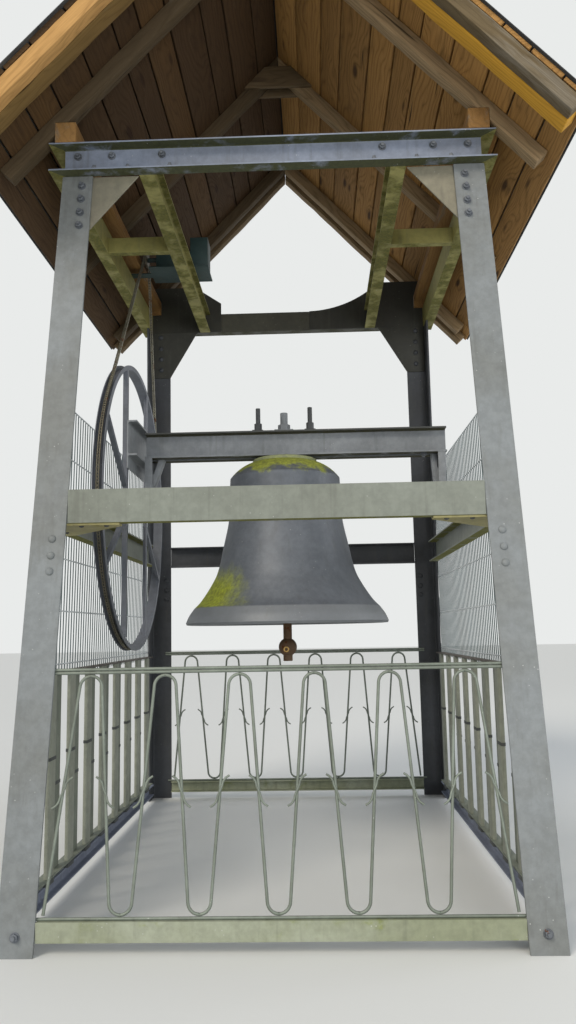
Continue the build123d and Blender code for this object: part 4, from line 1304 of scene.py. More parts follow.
@dataclass(frozen=True)
class BoltShape:
    """A bolt's parts, in shares of its nut's radius and height."""

    washer_radius: float = 1.28
    washer_height: float = 0.2
    washer_sides: int = 20
    cap_radius: float = 0.8
    cap_height: float = 0.16
    stem_radius: float = 0.52
    stem_sides: int = 12
    top: float = 1.2

    def build(self) -> bpy.types.NodeTree:
        """Makes the tree for hexagon nuts with a washer and the bolt's end."""
        graph, get, finish = geometry_group("hex_bolts", [
            Port("Radius", value=0.015), Port("Height", value=0.013), Port("End", value=0.012)])
        radius, height, end = get["Radius"], get["Height"], get["End"]
        thin = height * self.washer_height
        washer = cylinder(graph, self.washer_sides, radius * self.washer_radius, thin)
        nut = cylinder(graph, 6, radius, height)
        cap = graph.out("GeometryNodeMeshCone", {
            "Vertices": 6, "Radius Top": radius * self.cap_radius, "Radius Bottom": radius,
            "Depth": height * self.cap_height}, "Mesh")
        stem = cylinder(graph, self.stem_sides, radius * self.stem_radius, end)
        rises = ((washer, thin * 0.5), (nut, thin + height * 0.5), (cap, height * self.top),
                 (stem, height * self.top + end * 0.5))
        head = joined(graph, *(moved(graph, part, graph.whole(z=rise)) for part, rise in rises))
        finish(instance_on(graph, get["Seed"], head, math.pi / 3, 5))
        return graph.tree


def build_rivets() -> bpy.types.NodeTree:
    """Makes the tree for round rivet heads."""
    graph, get, finish = geometry_group("rivets", [
        Port("Radius", value=0.017), Port("Rise", value=0.6)])
    ball = graph.out("GeometryNodeMeshUVSphere", {
        "Segments": 20, "Rings": 10, "Radius": get["Radius"]}, "Mesh")
    head = graph.out("GeometryNodeTransform", {
        "Geometry": ball, "Scale": graph.whole(1.0, 1.0, get["Rise"])})
    smooth = graph.out("GeometryNodeSetShadeSmooth", {"Geometry": head})
    finish(instance_on(graph, get["Seed"], smooth, math.pi, 7))
    return graph.tree


def build_boards(corner: float = 0.002, tone_shift: float = 57.0, sway_scale: float = 2.6,
                 sway_detail: float = 2.0) -> bpy.types.NodeTree:
    """Makes the tree for sawn boards, one along each edge of its seed.

    Args:
        corner: Radius of a board's long edges.
        tone_shift: How far apart the grain of two boards is.
        sway_scale: How close the waves of a board are.
        sway_detail: How fine they get.

    Returns:
        The tree.
    """
    graph, get, finish = geometry_group("sawn_boards", [
        Port("Width", value=0.18), Port("Thickness", value=0.024), Port("Warp", value=0.002),
        Port("Step", value=0.16), Port("Number", "Int", 0), Port("Lightest", value=0.0),
        Port("Darkest", value=1.0)])
    tone = graph.out("FunctionNodeRandomValue", {
        2: get["Lightest"], 3: get["Darkest"], "ID": graph.read("board"),
        "Seed": get["Number"]}, 1, data_type="FLOAT")
    curve = graph.store(graph.out("GeometryNodeMeshToCurve", {0: get["Seed"]}), "tone", tone)
    curve = graph.out("GeometryNodeResampleCurve", {"Curve": curve, "Length": get["Step"]},
                      mode="LENGTH")
    curve = graph.store(curve, "along", graph.out("GeometryNodeSplineParameter", give="Length"))
    upright = graph.out("GeometryNodeSetCurveNormal", {"Curve": curve}, mode="Z_UP")
    section = graph.store(rectangle(graph, get["Width"], get["Thickness"], corner), "across",
                          graph.out("GeometryNodeInputPosition"), "FLOAT_VECTOR")
    board = graph.out("GeometryNodeCurveToMesh", {
        0: upright, "Profile Curve": section, "Scale": graph.read("girth"), "Fill Caps": True})
    across, through, _ = graph.parts(graph.read("across", "FLOAT_VECTOR"))
    shift = graph.read("tone") * tone_shift
    grain = graph.whole(graph.read("along") + shift, across + shift, through)
    board = graph.store(board, "grain", grain, "FLOAT_VECTOR")
    sway = graph.out("ShaderNodeTexNoise", {"Vector": grain, "Scale": sway_scale,
                                            "Detail": sway_detail}, "Color")
    push = graph.out("ShaderNodeVectorMath", {
        0: sway - (0.5, 0.5, 0.5), "Scale": get["Warp"]}, operation="SCALE")
    finish(graph.out("GeometryNodeSetPosition", {"Geometry": board, "Offset": push}))
    return graph.tree


@dataclass(frozen=True)
class ChainShape:
    """A roller chain's parts, in shares of its pitch, width and depth."""

    plate_length: float = 1.62
    plate_thickness: float = 0.12
    roller_radius: float = 0.36
    roller_length: float = 0.95
    outer_gap: float = 0.44
    inner_gap: float = 0.3

    def build(self) -> bpy.types.NodeTree:
        """Makes the tree for a roller chain along the edges of its seed."""
        graph, get, finish = geometry_group("roller_chain", [
            Port("Pitch", value=0.019), Port("Width", value=0.018), Port("Depth", value=0.014)])
        pitch, width, depth = get["Pitch"], get["Width"], get["Depth"]
        curve = graph.out("GeometryNodeMeshToCurve", {0: get["Seed"]})
        steps = graph.node("GeometryNodeCurveToPoints", {"Curve": curve, "Length": pitch},
                           mode="LENGTH")
        points, turn = (Value(graph, steps.outputs[name]) for name in ("Points", "Rotation"))
        outer = graph.math("MODULO", graph.out("GeometryNodeInputIndex"), 2.0)
        plate = graph.out("GeometryNodeMeshCube", {"Size": graph.whole(
            width * self.plate_thickness, depth, pitch * self.plate_length)}, "Mesh")
        roller = cylinder(graph, 8, depth * self.roller_radius, width * self.roller_length)
        laid = graph.out("GeometryNodeTransform", {
            "Geometry": roller, "Rotation": (0.0, math.pi / 2, 0.0)})
        links = [(moved(graph, plate, graph.whole(width * (side * gap))), chosen)
                 for side in (-1, 1)
                 for gap, chosen in ((self.outer_gap, outer), (self.inner_gap, 1.0 - outer))]
        finish(joined(graph, *(graph.out("GeometryNodeInstanceOnPoints", {
            "Points": points, "Selection": chosen, "Instance": part, "Rotation": turn})
            for part, chosen in [*links, (laid, True)])))
        return graph.tree


@dataclass
class Trees:
    """The geometry trees, each made once."""

    round_bars: bpy.types.NodeTree = field(default_factory=build_round_bars)
    flat_bars: bpy.types.NodeTree = field(default_factory=build_flat_bars)
    hex_bolts: bpy.types.NodeTree = field(default_factory=BoltShape().build)
    rivets: bpy.types.NodeTree = field(default_factory=build_rivets)
    boards: bpy.types.NodeTree = field(default_factory=build_boards)
    chain: bpy.types.NodeTree = field(default_factory=ChainShape().build)


@dataclass
class LegLine:
    """The outer corner of a leg, from its foot to its head."""

    foot: Vector
    head: Vector

    @classmethod
    def of(cls, node: bpy.types.Object) -> "LegLine":
        """Reads the line from a leg's mesh.

        Args:
            node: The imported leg.

        Returns:
            The line.
        """
        points = [vert.co for vert in node.data.vertices]
        low = min(p.z for p in points)
        high = max(p.z for p in points)
        ends = []
        for level in (low, high):
            near = [p for p in points if abs(p.z - level) < 1e-4]
            middle = sum(near, Vector()) / len(near)
            ends.append(max(near, key=lambda p: abs(p.x) + abs(p.y) * math.copysign(
                1, p.y * middle.y)).copy())
        return cls(ends[0], ends[1])

    def at(self, height: float) -> Vector:
        """Gives the corner at a height."""
        return self.foot.lerp(self.head, (height - self.foot.z) / (self.head.z - self.foot.z))

    def front_normal(self, end: int) -> Vector:
        """Gives the outward direction of the face across the frame."""
        rise = self.head - self.foot
        return Vector((0, end * rise.z, -end * rise.y)).normalized()


def legs_of(shop: Workshop) -> dict[tuple[int, int], LegLine]:
    """Reads the four legs.

    Args:
        shop: The workshop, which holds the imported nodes.

    Returns:
        The outer corner of each leg, by side and end.
    """
    lines = {}
    for end_name, end in ENDS.items():
        for side_name, side in SIDES.items():
            lines[side, end] = LegLine.of(shop.nodes[f"leg_{end_name}_{side_name}"])
    return lines


@dataclass
class Assembly:
    """A sub-assembly, with the workshop and the geometry trees that it is made with."""

    shop: Workshop
    trees: Trees


@dataclass
class SteelFrame(Assembly):
    """The rolled sections and plates that stay as they are packed, with rounded edges."""

    root: float = 0.009
    chamfer: float = 0.0016
    plate_chamfer: float = 0.0012

    def build(self) -> None:
        """Dresses the legs, beams and plates."""
        sections = {
            Finish.LEG: ["leg_front_left", "leg_front_right"],
            Finish.REAR_LEG: ["leg_rear_left", "leg_rear_right", "mid_beam_rear"],
            Finish.REAR: ["ring_beam_rear"],
            Finish.RING: ["ring_beam_front"],
            Finish.INNER: ["ring_beam_left", "ring_beam_right", "inner_beam_left",
                           "inner_beam_right", "cross_tie_left", "cross_tie_right"],
            Finish.MIDDLE: ["mid_beam_front", "mid_beam_left", "mid_beam_right"],
            Finish.BASE: ["base_beam_front", "base_beam_rear"],
            Finish.BASE_SIDE: ["base_beam_left", "base_beam_right"],
        }
        for finish, nodes in sections.items():
            for node in nodes:
                self.shop.dress(node, "section", Slot.FRAME_PAINT, finish, root=self.root,
                                chamfer=self.chamfer)
        for node, finish in (("head_gussets_front", Finish.GUSSET),
                             ("head_plates_rear", Finish.REAR_PLATE),
                             ("corner_plates_front", Finish.CORNER)):
            self.shop.dress(node, "cut", Slot.FRAME_PAINT, finish, chamfer=self.plate_chamfer)


@dataclass
class Fasteners(Assembly):
    """Bolts and rivets of the frame."""

    head_gauge: float = 0.107
    head_heights: tuple[float, ...] = (3.650, 3.573, 3.493, 3.417)
    rivet_gauge: float = 0.100
    rivet_heights: tuple[float, ...] = (1.760, 1.682, 1.607)
    foot_gauge: float = 0.080
    foot_height: float = 0.080
    web_bolts: tuple[float, ...] = (1.025, 0.845, 0.580)
    web_height: float = 3.820
    web_thickness: float = 0.0075
    flange_bolts: tuple[float, ...] = (0.931, 0.753, 0.533)
    flange_inset: float = 0.034
    flange_thickness: float = 0.009
    inner_gauge: float = 1.022
    plate_inset: tuple[float, float] = (0.06, 0.03)
    plate_steps: tuple[tuple[float, float], ...] = ((-0.02, 0.0), (-0.14, 0.0), (-0.26, 0.0),
                                                    (0.0, 0.1), (0.0, 0.24))
    plate_rivets: tuple[float, ...] = (3.676, 3.588, 3.503, 3.415)
    leg_rivets: tuple[float, ...] = (1.733, 1.657, 1.587)
    rivet_radius: float = 0.0185
    small_rivet_radius: float = 0.0125
    rivet_rise: float = 0.62
    bolt_size: tuple[float, float, float] = (0.0165, 0.014, 0.013)
    yoke_nut: tuple[float, float, float] = (0.885, -0.014, 2.2)
    yoke_nut_size: tuple[float, float, float] = (0.016, 0.016, 0.010)

    def build(self) -> None:
        """Places every bolt and rivet of the fixed frame, and the nut under the yoke."""
        self.bolts("frame_bolts", [*self.leg_spots(bolts=True), *self.ring_spots()],
                   self.bolt_size, Body.FRAME)
        inner = []
        for name, side in SIDES.items():
            for node, heights in (("head_plates_rear", self.plate_rivets),
                                  (f"leg_rear_{name}", self.leg_rivets)):
                inner += [self.shop.seat(node, (side * self.inner_gauge, 0, height), (0, 1, 0))
                          for height in heights]
        for name, spots, finish, radius in (
                ("frame_rivets", self.leg_spots(bolts=False), Finish.LEG, self.rivet_radius),
                ("inner_rivets", inner, Finish.REAR_LEG, self.rivet_radius),
                ("plate_rivets", self.plate_spots(), Finish.HOUSING, self.small_rivet_radius)):
            self.shop.plant(name, point_mesh(spots), self.trees.rivets, Slot.FRAME_PAINT, finish,
                            {"Radius": radius, "Rise": self.rivet_rise})
        nut = self.shop.seat("yoke_channels", self.yoke_nut, (0, 0, 1))
        self.bolts("yoke_nut", [nut], self.yoke_nut_size, Body.BELL)

    def bolts(self, name: str, spots: list[tuple[Vector, Vector]],
              size: tuple[float, float, float], body: Body) -> None:
        """Grows bolts at places with directions.

        Args:
            name: Name of the piece.
            spots: The place and direction of each.
            size: Radius and height of the nut, and length of the bolt's end.
            body: The body that they move with.
        """
        self.shop.plant(name, point_mesh(spots), self.trees.hex_bolts, Slot.BOLT, Finish.BOLT,
                        dict(zip(("Radius", "Height", "End"), size)), body=body)

    def leg_spots(self, bolts: bool) -> list[tuple[Vector, Vector]]:
        """Works out the spots on the legs' outer faces.

        Args:
            bolts: Whether those of the bolts are wanted, and not those of the rivets.

        Returns:
            Place and direction of each.
        """
        spots = []
        for (side, end), line in legs_of(self.shop).items():
            heads = [(height, self.head_gauge) for height in self.head_heights]
            rivets = [(height, self.rivet_gauge) for height in self.rivet_heights]
            foot = (self.foot_height, self.foot_gauge)
            for height, gauge in [*heads, foot] if bolts else rivets:
                spots.append((line.at(height) - Vector((side * gauge, 0, 0)),
                              line.front_normal(end)))
        return spots

    def ring_spots(self) -> list[tuple[Vector, Vector]]:
        """Works out the bolts in the webs and lower flanges of the head ring."""
        spots = []
        for name, end in ENDS.items():
            low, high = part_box(f"ring_beam_{name}")
            web = (low.y if end > 0 else high.y) + end * self.web_thickness
            flange = (high.y if end > 0 else low.y) - end * self.flange_inset
            for side in SIDES.values():
                spots += [(Vector((side * x, web, self.web_height)), Vector((0, end, 0)))
                          for x in self.web_bolts]
                spots += [(Vector((side * x, flange, low.z + self.flange_thickness)),
                           Vector((0, 0, 1))) for x in self.flange_bolts]
        return spots

    def plate_spots(self) -> list[tuple[Vector, Vector]]:
        """Works out the rivets under the corner plates."""
        low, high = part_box("corner_plates_front")
        edge, inner = high.x - self.plate_inset[0], low.y + self.plate_inset[1]
        return [(Vector((side * (edge + x), inner + y, low.z)), Vector((0, 0, -1)))
                for side in SIDES.values() for x, y in self.plate_steps]


@dataclass
class RailingSet(Assembly):
    """Front and rear railing: two close rails, a low rail and one bent rod with scrolls."""

    rail_radius: float = 0.007
    rail_step: float = 0.0143
    arch_pitch: float = 0.332
    arch_count: int = 6
    arch_half: float = 0.045
    rod_bend: float = 0.072
    foot_inset: float = 0.05
    scroll_bend: float = 0.03
    scroll_middle: float = 0.640
    scroll_half: float = 0.064
    scroll_radius: float = 0.0048
    scroll_line: tuple[tuple[float, float], ...] = ((1.0, 0.036), (0.84, 0.020), (0.58, 0.0095),
                                                    (0.3, 0.0075))

    def build(self) -> None:
        """Makes both railings."""
        legs = legs_of(self.shop)
        for name, end in ENDS.items():
            node = f"railing_{name}"
            low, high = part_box(node)
            line = legs[1, end]
            top, bottom = high.z - self.rail_radius, low.z + self.rail_radius
            inset = line.at(bottom).y * end - (high.y if end > 0 else -low.y) + self.rail_radius

            def place(x: float, z: float) -> Vector:
                """Gives a point of the railing's leaning plane."""
                return Vector((x, end * (line.at(z).y * end - inset), z))

            rails = [[place(-high.x, z), place(high.x, z)]
                     for z in (top, top - self.rail_step, bottom)]
            corners = self.rod_corners(top - 2 * self.rail_step, bottom + 2 * self.rail_radius,
                                       high.x - self.foot_inset)
            scrolls = [self.scroll(place, start, stop) for start, stop in zip(corners, corners[1:])
                       if stop[1] != start[1]]
            rod = [place(x, z) for x, z in corners]
            for part, paths, radius, bend in (
                    ("rails", rails, self.rail_radius, 0.0),
                    ("rod", [rod], self.rail_radius, self.rod_bend),
                    ("scrolls", scrolls, self.scroll_radius, self.scroll_bend)):
                self.shop.plant(f"{node}_{part}", edge_mesh(paths), self.trees.round_bars,
                                Slot.RAIL, Finish.RAIL, {"Radius": radius, "Bend": bend,
                                                         "Bend steps": 9, "Sides": 12}, node)

    def rod_corners(self, top: float, low: float, foot: float) -> list[tuple[float, float]]:
        """Works out the corners of the bent rod.

        Args:
            top: Height of the arches.
            low: Height of the lower bends.
            foot: Distance of the rod's ends from the middle.

        Returns:
            The corners, across and up.
        """
        half = self.arch_half
        corners = [(-foot, low)]
        for index in range(2 * self.arch_count - 1):
            x = (index - self.arch_count + 1) * self.arch_pitch / 2
            level = low if index % 2 else top
            corners += [(x - half, level), (x + half, level)]
        return [*corners, (foot, low)]

    def scroll(self, place: Callable[[float, float], Vector], start: tuple[float, float],
               stop: tuple[float, float]) -> list[Vector]:
        """Gives the corners of one scroll, which hugs a straight run of the rod.

        Args:
            place: Gives a point of the railing's plane.
            start: First end of the run.
            stop: Last end of the run.

        Returns:
            The corners, from the outer hook below to the inner hook above.
        """
        inward = 1 if stop[1] > start[1] else -1
        forward = Vector((0, math.copysign(1, place(*start).y) * self.rail_radius, 0))
        corners = []
        for end, line in ((-1, self.scroll_line), (1, self.scroll_line[::-1])):
            for share, out in line:
                z = self.scroll_middle + end * share * self.scroll_half
                x = start[0] + (stop[0] - start[0]) * (z - start[1]) / (stop[1] - start[1])
                corners.append(place(x + end * inward * out, z) + forward)
        return corners


@dataclass
class FenceRow:
    """One of the two rows of slats: its place across, its shift and its clamps' height."""

    name: str
    across: float
    shift: float
    clamp_height: float
    finish: Finish


@dataclass
class SideFences(Assembly):
    """Slat fences on the side beams, with clamps, feet and two long strips."""

    pitch: float = 0.340
    shift: float = -0.045
    slat_width: float = 0.100
    slat_thickness: float = 0.020
    top_gap: float = 0.030
    strip_thickness: float = 0.008
    strip_height: float = 0.060
    clamp_half: float = 0.008
    foot_rise: float = 0.022
    proud: float = 0.004
    slat_rounding: float = 0.004
    clamp_rounding: float = 0.003
    strip_rounding: float = 0.0015
    rows: tuple[FenceRow, ...] = (
        FenceRow("inner", 0.010, 0.085, 0.720, Finish.SLAT),
        # The outer row takes the darker copy of the slat paint, as painted shade.
        FenceRow("outer", 0.038, -0.085, 0.580, Finish.SLAT_SHADED))

    def build(self) -> None:
        """Makes both fences."""
        for name, side in SIDES.items():
            node = f"fence_slats_{name}"
            low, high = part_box(node)
            inner = min(abs(low.x), abs(high.x))
            middle = (low.y + high.y) / 2
            count = int((high.y - low.y) / self.pitch)
            bands = []
            for row in self.rows:
                x = side * (inner + row.across)
                first = middle + self.shift + row.shift - self.pitch * (count - 1) / 2
                slats = []
                for index in range(count):
                    y = first + index * self.pitch
                    for paths, z0, z1 in ((slats, low.z, high.z - self.top_gap),
                                          (bands, low.z, low.z + self.foot_rise),
                                          (bands, row.clamp_height - self.clamp_half,
                                           row.clamp_height + self.clamp_half)):
                        paths.append([Vector((x, y, z0)), Vector((x, y, z1))])
                self.bars(f"{node}_{row.name}", slats, (self.slat_width, self.slat_thickness),
                          self.slat_rounding, row.finish, node)
            self.bars(f"{node}_clamps", bands,
                      (self.slat_width + self.proud, self.slat_thickness + self.proud),
                      self.clamp_rounding, Finish.BAND, node)
            x = side * (inner + self.slat_thickness + self.strip_thickness / 2)
            for part, z, finish in (
                    # The low strip takes the darker copy of the slat paint, as painted shade.
                    ("low_strip", low.z + self.strip_height / 2, Finish.SLAT_SHADED),
                    ("top_strip", high.z - self.strip_height / 2, Finish.SIDE_RAIL)):
                self.bars(f"{node}_{part}", [[Vector((x, low.y, z)), Vector((x, high.y, z))]],
                          (self.strip_thickness, self.strip_height), self.strip_rounding,
                          finish, node)

    def bars(self, name: str, paths: list[list[Vector]], section: tuple[float, float],
             rounding: float, finish: Finish, node: str) -> None:
        """Makes rounded flat bars along paths and hands them over."""
        self.shop.plant(name, edge_mesh(paths), self.trees.flat_bars, Slot.SLAT, finish, {
            "Width": section[0], "Thickness": section[1], "Bend": 0.0, "Round": rounding}, node)


@dataclass
class MeshPanels(Assembly):
    """Welded wire panels on the outside of the legs: fine columns over rows painted near white as a
    highlight.
    """

    column_radius: float = 0.0029
    column_pitch: float = 0.05
    row_radius: float = 0.0040
    row_pitch: float = 0.274
    edge_gauge: float = 0.080
    lap: float = 0.055
    top_step: float = 0.02

    def build(self) -> None:
        """Makes both panels."""
        legs = legs_of(self.shop)
        for name, side in SIDES.items():
            node = f"mesh_panel_{name}"
            low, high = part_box(node)
            front, rear = legs[side, -1], legs[side, 1]

            def ends(z: float) -> tuple[float, float]:
                """Gives the first and last place of the panel at a height."""
                return front.at(z).y + self.edge_gauge, rear.at(z).y - self.edge_gauge

            def wire(y0: float, z0: float, y1: float, z1: float, out: float) -> list[Vector]:
                """Gives a straight wire at a distance outside the legs' faces."""
                return [Vector((front.at(z).x + side * out, y, z)) for y, z in ((y0, z0), (y1, z1))]

            rows, columns = [], []
            for index in range(int((high.z - low.z) / self.row_pitch) + 1):
                z = low.z + self.row_radius + index * self.row_pitch
                rows.append(wire(ends(z)[0], z, ends(z)[1], z, self.row_radius))
            y0, y1 = ends(low.z)
            count = int((y1 - y0) / self.column_pitch)
            for index in range(count + 1):
                y = (y0 + y1) / 2 + (index - count / 2) * self.column_pitch
                top = high.z
                while top > low.z and not ends(top)[0] <= y <= ends(top)[1]:
                    top -= self.top_step
                columns.append(wire(y, low.z - self.lap, y, top,
                                    2 * self.row_radius + self.column_radius))
            for part, paths, radius, sides, finish in (
                    ("columns", columns, self.column_radius, 6, Finish.WIRE),
                    # The rows take the near-white wire: painted highlight.
                    ("rows", rows, self.row_radius, 8, Finish.WIRE_HIGHLIGHT)):
                self.shop.plant(f"{node}_{part}", edge_mesh(paths), self.trees.round_bars,
                                Slot.MESH, finish, {"Radius": radius, "Bend": 0.0,
                                                    "Bend steps": 1, "Sides": sides}, node)


@dataclass
class Roof(Assembly):
    """Boarding, felt, rafters, verges, collar and wall plates."""

    pitch: float = math.radians(46.5)
    board_thickness: float = 0.024
    board_gap: float = 0.012
    board_widths: tuple[float, ...] = (1.0, 1.12, 0.86, 1.18, 0.94, 0.82, 1.1, 1.2, 0.9, 1.04, 0.84)
    # Tone range of the left and of the right boards; the left boards are darker as painted shade.
    board_tones_and_left_shade: tuple[tuple[float, float], ...] = ((0.74, 1.0), (0.0, 0.42))
    board_lift: float = 0.001
    board_warp: float = 0.003
    board_step: float = 0.12
    board_seed: int = 3
    layout_seed: int = 11
    joint_places: tuple[float, float] = (-0.002, 1.25)
    joint_gap: float = 0.003
    joint_period: int = 3
    slice_length: float = 0.045
    mitre_gap: float = 0.0006
    rafter_wear: tuple[float, float] = (0.0035, 0.003)
    verge_wear: tuple[float, float] = (0.005, 0.005)
    plate_wear: tuple[float, float] = (0.003, 0.002)
    felt_edge: float = 0.0012
    grain_reach: float = 40.0
    sway_scale: float = 5.0
    fine_scale: float = 14.0
    fine_share: float = 0.5
    worn_level: float = 0.35
    timber_smooth: float = 40.0

    def build(self) -> None:
        """Makes the whole roof."""
        for (name, side), tones in zip(SIDES.items(), self.board_tones_and_left_shade):
            self.boarding(f"roof_boards_{name}", side, tones)
        # The left rafters are darker than the right ones: painted shade on the left slope.
        rafters = ((Finish.RAFTER, 0.9), (Finish.RAFTER, 0.1))
        # The light and the golden verges carry painted sunlight.
        verges = {"verge_front_outer": ((Finish.VERGE_LIT, 0.1), (Finish.VERGE_GREY, 0.2)),
                  "verge_front_inner": ((Finish.VERGE_OLIVE, 0.3), (Finish.VERGE_SUNLIT_GOLD, 0.2)),
                  "verge_rear": ((Finish.RAFTER, 0.6), (Finish.RAFTER, 0.3))}
        for node in ("rafters_front", "rafters_middle", "rafters_rear"):
            self.pair(node, rafters, self.rafter_wear)
        for node, looks in verges.items():
            self.pair(node, looks, self.verge_wear)
        across = Matrix.Identity(3)
        along = Matrix(((0, 1, 0), (1, 0, 0), (0, 0, 1)))
        for node, axes, look in (("collar_plates", across, (Finish.RAFTER, 0.7)),
                                 ("wall_plate_left", along, (Finish.PLATE, 0.5)),
                                 ("wall_plate_right", along, (Finish.PLATE, 0.5))):
            self.timber(node, self.shop.merged(node), axes, look, self.plate_wear, node)
        self.shop.dress("roof_felt", "sheet", Slot.FELT, Finish.FELT, chamfer=self.felt_edge)

    def boarding(self, node: str, side: int, tones: tuple[float, float]) -> None:
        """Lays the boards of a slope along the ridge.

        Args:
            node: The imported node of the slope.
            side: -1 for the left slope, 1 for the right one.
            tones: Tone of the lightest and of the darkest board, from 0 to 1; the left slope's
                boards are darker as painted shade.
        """
        low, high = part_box(node)
        apex = high.z - self.board_thickness / math.cos(self.pitch)
        eave = (high.x if side > 0 else -low.x) / math.cos(self.pitch)
        unit = eave / sum(self.board_widths)
        draw = random.Random(self.layout_seed + side)
        paths, numbers, girths = [], [], []
        down = 0.0
        for index, width in enumerate(self.board_widths):
            middle = down + width * unit / 2
            down += width * unit
            lift = draw.uniform(-self.board_lift, self.board_lift)
            spans = [(low.y, high.y)]
            if index % self.joint_period == 1:
                joint = draw.choice(self.joint_places)
                spans = [(low.y, joint), (joint + self.joint_gap, high.y)]
            for y0, y1 in spans:
                numbers += [len(paths) + 100 * (side + 1)] * 2
                girths += [(width * unit - self.board_gap) / unit] * 2
                paths.append([Vector((middle, y0, lift)), Vector((middle, y1, lift))])
        seed = edge_mesh(paths)
        for label, values in (("board", numbers), ("girth", girths)):
            seed.attributes.new(label, "FLOAT", "POINT").data.foreach_set("value", values)
        piece = self.shop.grow(f"{node}_laid", seed, self.trees.boards, Finish.BOARDING, {
            "Width": unit, "Thickness": self.board_thickness, "Warp": self.board_warp,
            "Step": self.board_step, "Number": self.board_seed, "Lightest": tones[0],
            "Darkest": tones[1]})
        turn = Matrix.Rotation(side * self.pitch, 4, "Y") @ Matrix.Scale(side, 4, (1, 0, 0))
        piece.data.transform(Matrix.Translation((0, 0, apex)) @ turn @ Matrix.Translation(
            (0, 0, self.board_thickness / 2)))
        if side < 0:
            piece.data.flip_normals()
        piece.data.shade_smooth()
        piece.data.set_sharp_from_angle(angle=math.radians(SMOOTH))
        self.shop.publish(piece, Slot.BOARDING, Finish.BOARDING, node)

    def pair(self, node: str, looks: tuple[tuple[Finish, float], ...],
             wear: tuple[float, float]) -> None:
        """Cuts a pair of sloping timbers at its mitre and makes each of them.

        Args:
            node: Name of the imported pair.
            looks: Finish and tone of the left and of the right one.
            wear: Width of the rounded edges and depth of the unevenness.
        """
        sine, cosine = math.sin(self.pitch), math.cos(self.pitch)
        for (name, side), look in zip(SIDES.items(), looks):
            shape = self.shop.merged(node)
            cut = bmesh.ops.bisect_plane(
                shape, geom=shape.verts[:] + shape.edges[:] + shape.faces[:], dist=1e-6,
                plane_co=(side * self.mitre_gap, 0, 0), plane_no=(-side, 0, 0), clear_outer=True)
            rim = [item for item in cut["geom_cut"] if isinstance(item, bmesh.types.BMEdge)]
            bmesh.ops.edgeloop_fill(shape, edges=rim)
            bmesh.ops.recalc_face_normals(shape, faces=shape.faces)
            axes = Matrix(((side * cosine, 0, -sine), (0, 1, 0), (side * sine, 0, cosine)))
            self.timber(f"{node}_{name}", shape, axes, look, wear, node)

    def timber(self, name: str, shape: bmesh.types.BMesh, axes: Matrix,
               look: tuple[Finish, float], wear: tuple[float, float], node: str) -> None:
        """Rounds a timber, slices it finely, makes its faces uneven and hands it over.

        Args:
            name: Name of the piece, before its ending.
            shape: Its mesh.
            axes: Rows that give the places along, across and through it.
            look: Its finish and how dark it is, from 0 to 1.
            wear: Width of its rounded edges and depth of the unevenness.
            node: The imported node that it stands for.
        """
        edge, rough = wear
        bevel(shape, Shape.CONVEX, edge, 2)
        along = axes[0]
        reach = [vert.co.dot(along) for vert in shape.verts]
        for index in range(1, int((max(reach) - min(reach)) / self.slice_length) + 1):
            point = along * (min(reach) + index * self.slice_length)
            bmesh.ops.bisect_plane(
                shape, geom=shape.verts[:] + shape.edges[:] + shape.faces[:], plane_co=point,
                plane_no=along, dist=1e-5)
        draw = random.Random(name)
        offset = Vector([draw.uniform(0, self.grain_reach) for _ in range(3)])
        grain = shape.verts.layers.float_vector.new("grain")
        tone = shape.verts.layers.float.new("tone")
        shape.normal_update()
        for vert in shape.verts:
            vert[grain] = axes @ vert.co + offset
            vert[tone] = look[1]
            sway = (noise.noise(vert[grain] * self.sway_scale)
                    + self.fine_share * noise.noise(vert[grain] * self.fine_scale))
            vert.co -= vert.normal * (rough * max(0.0, self.worn_level + sway))
        self.shop.publish(self.shop.mesh(f"{name}_sawn", shape, self.timber_smooth), Slot.TIMBER,
                          look[0], node)


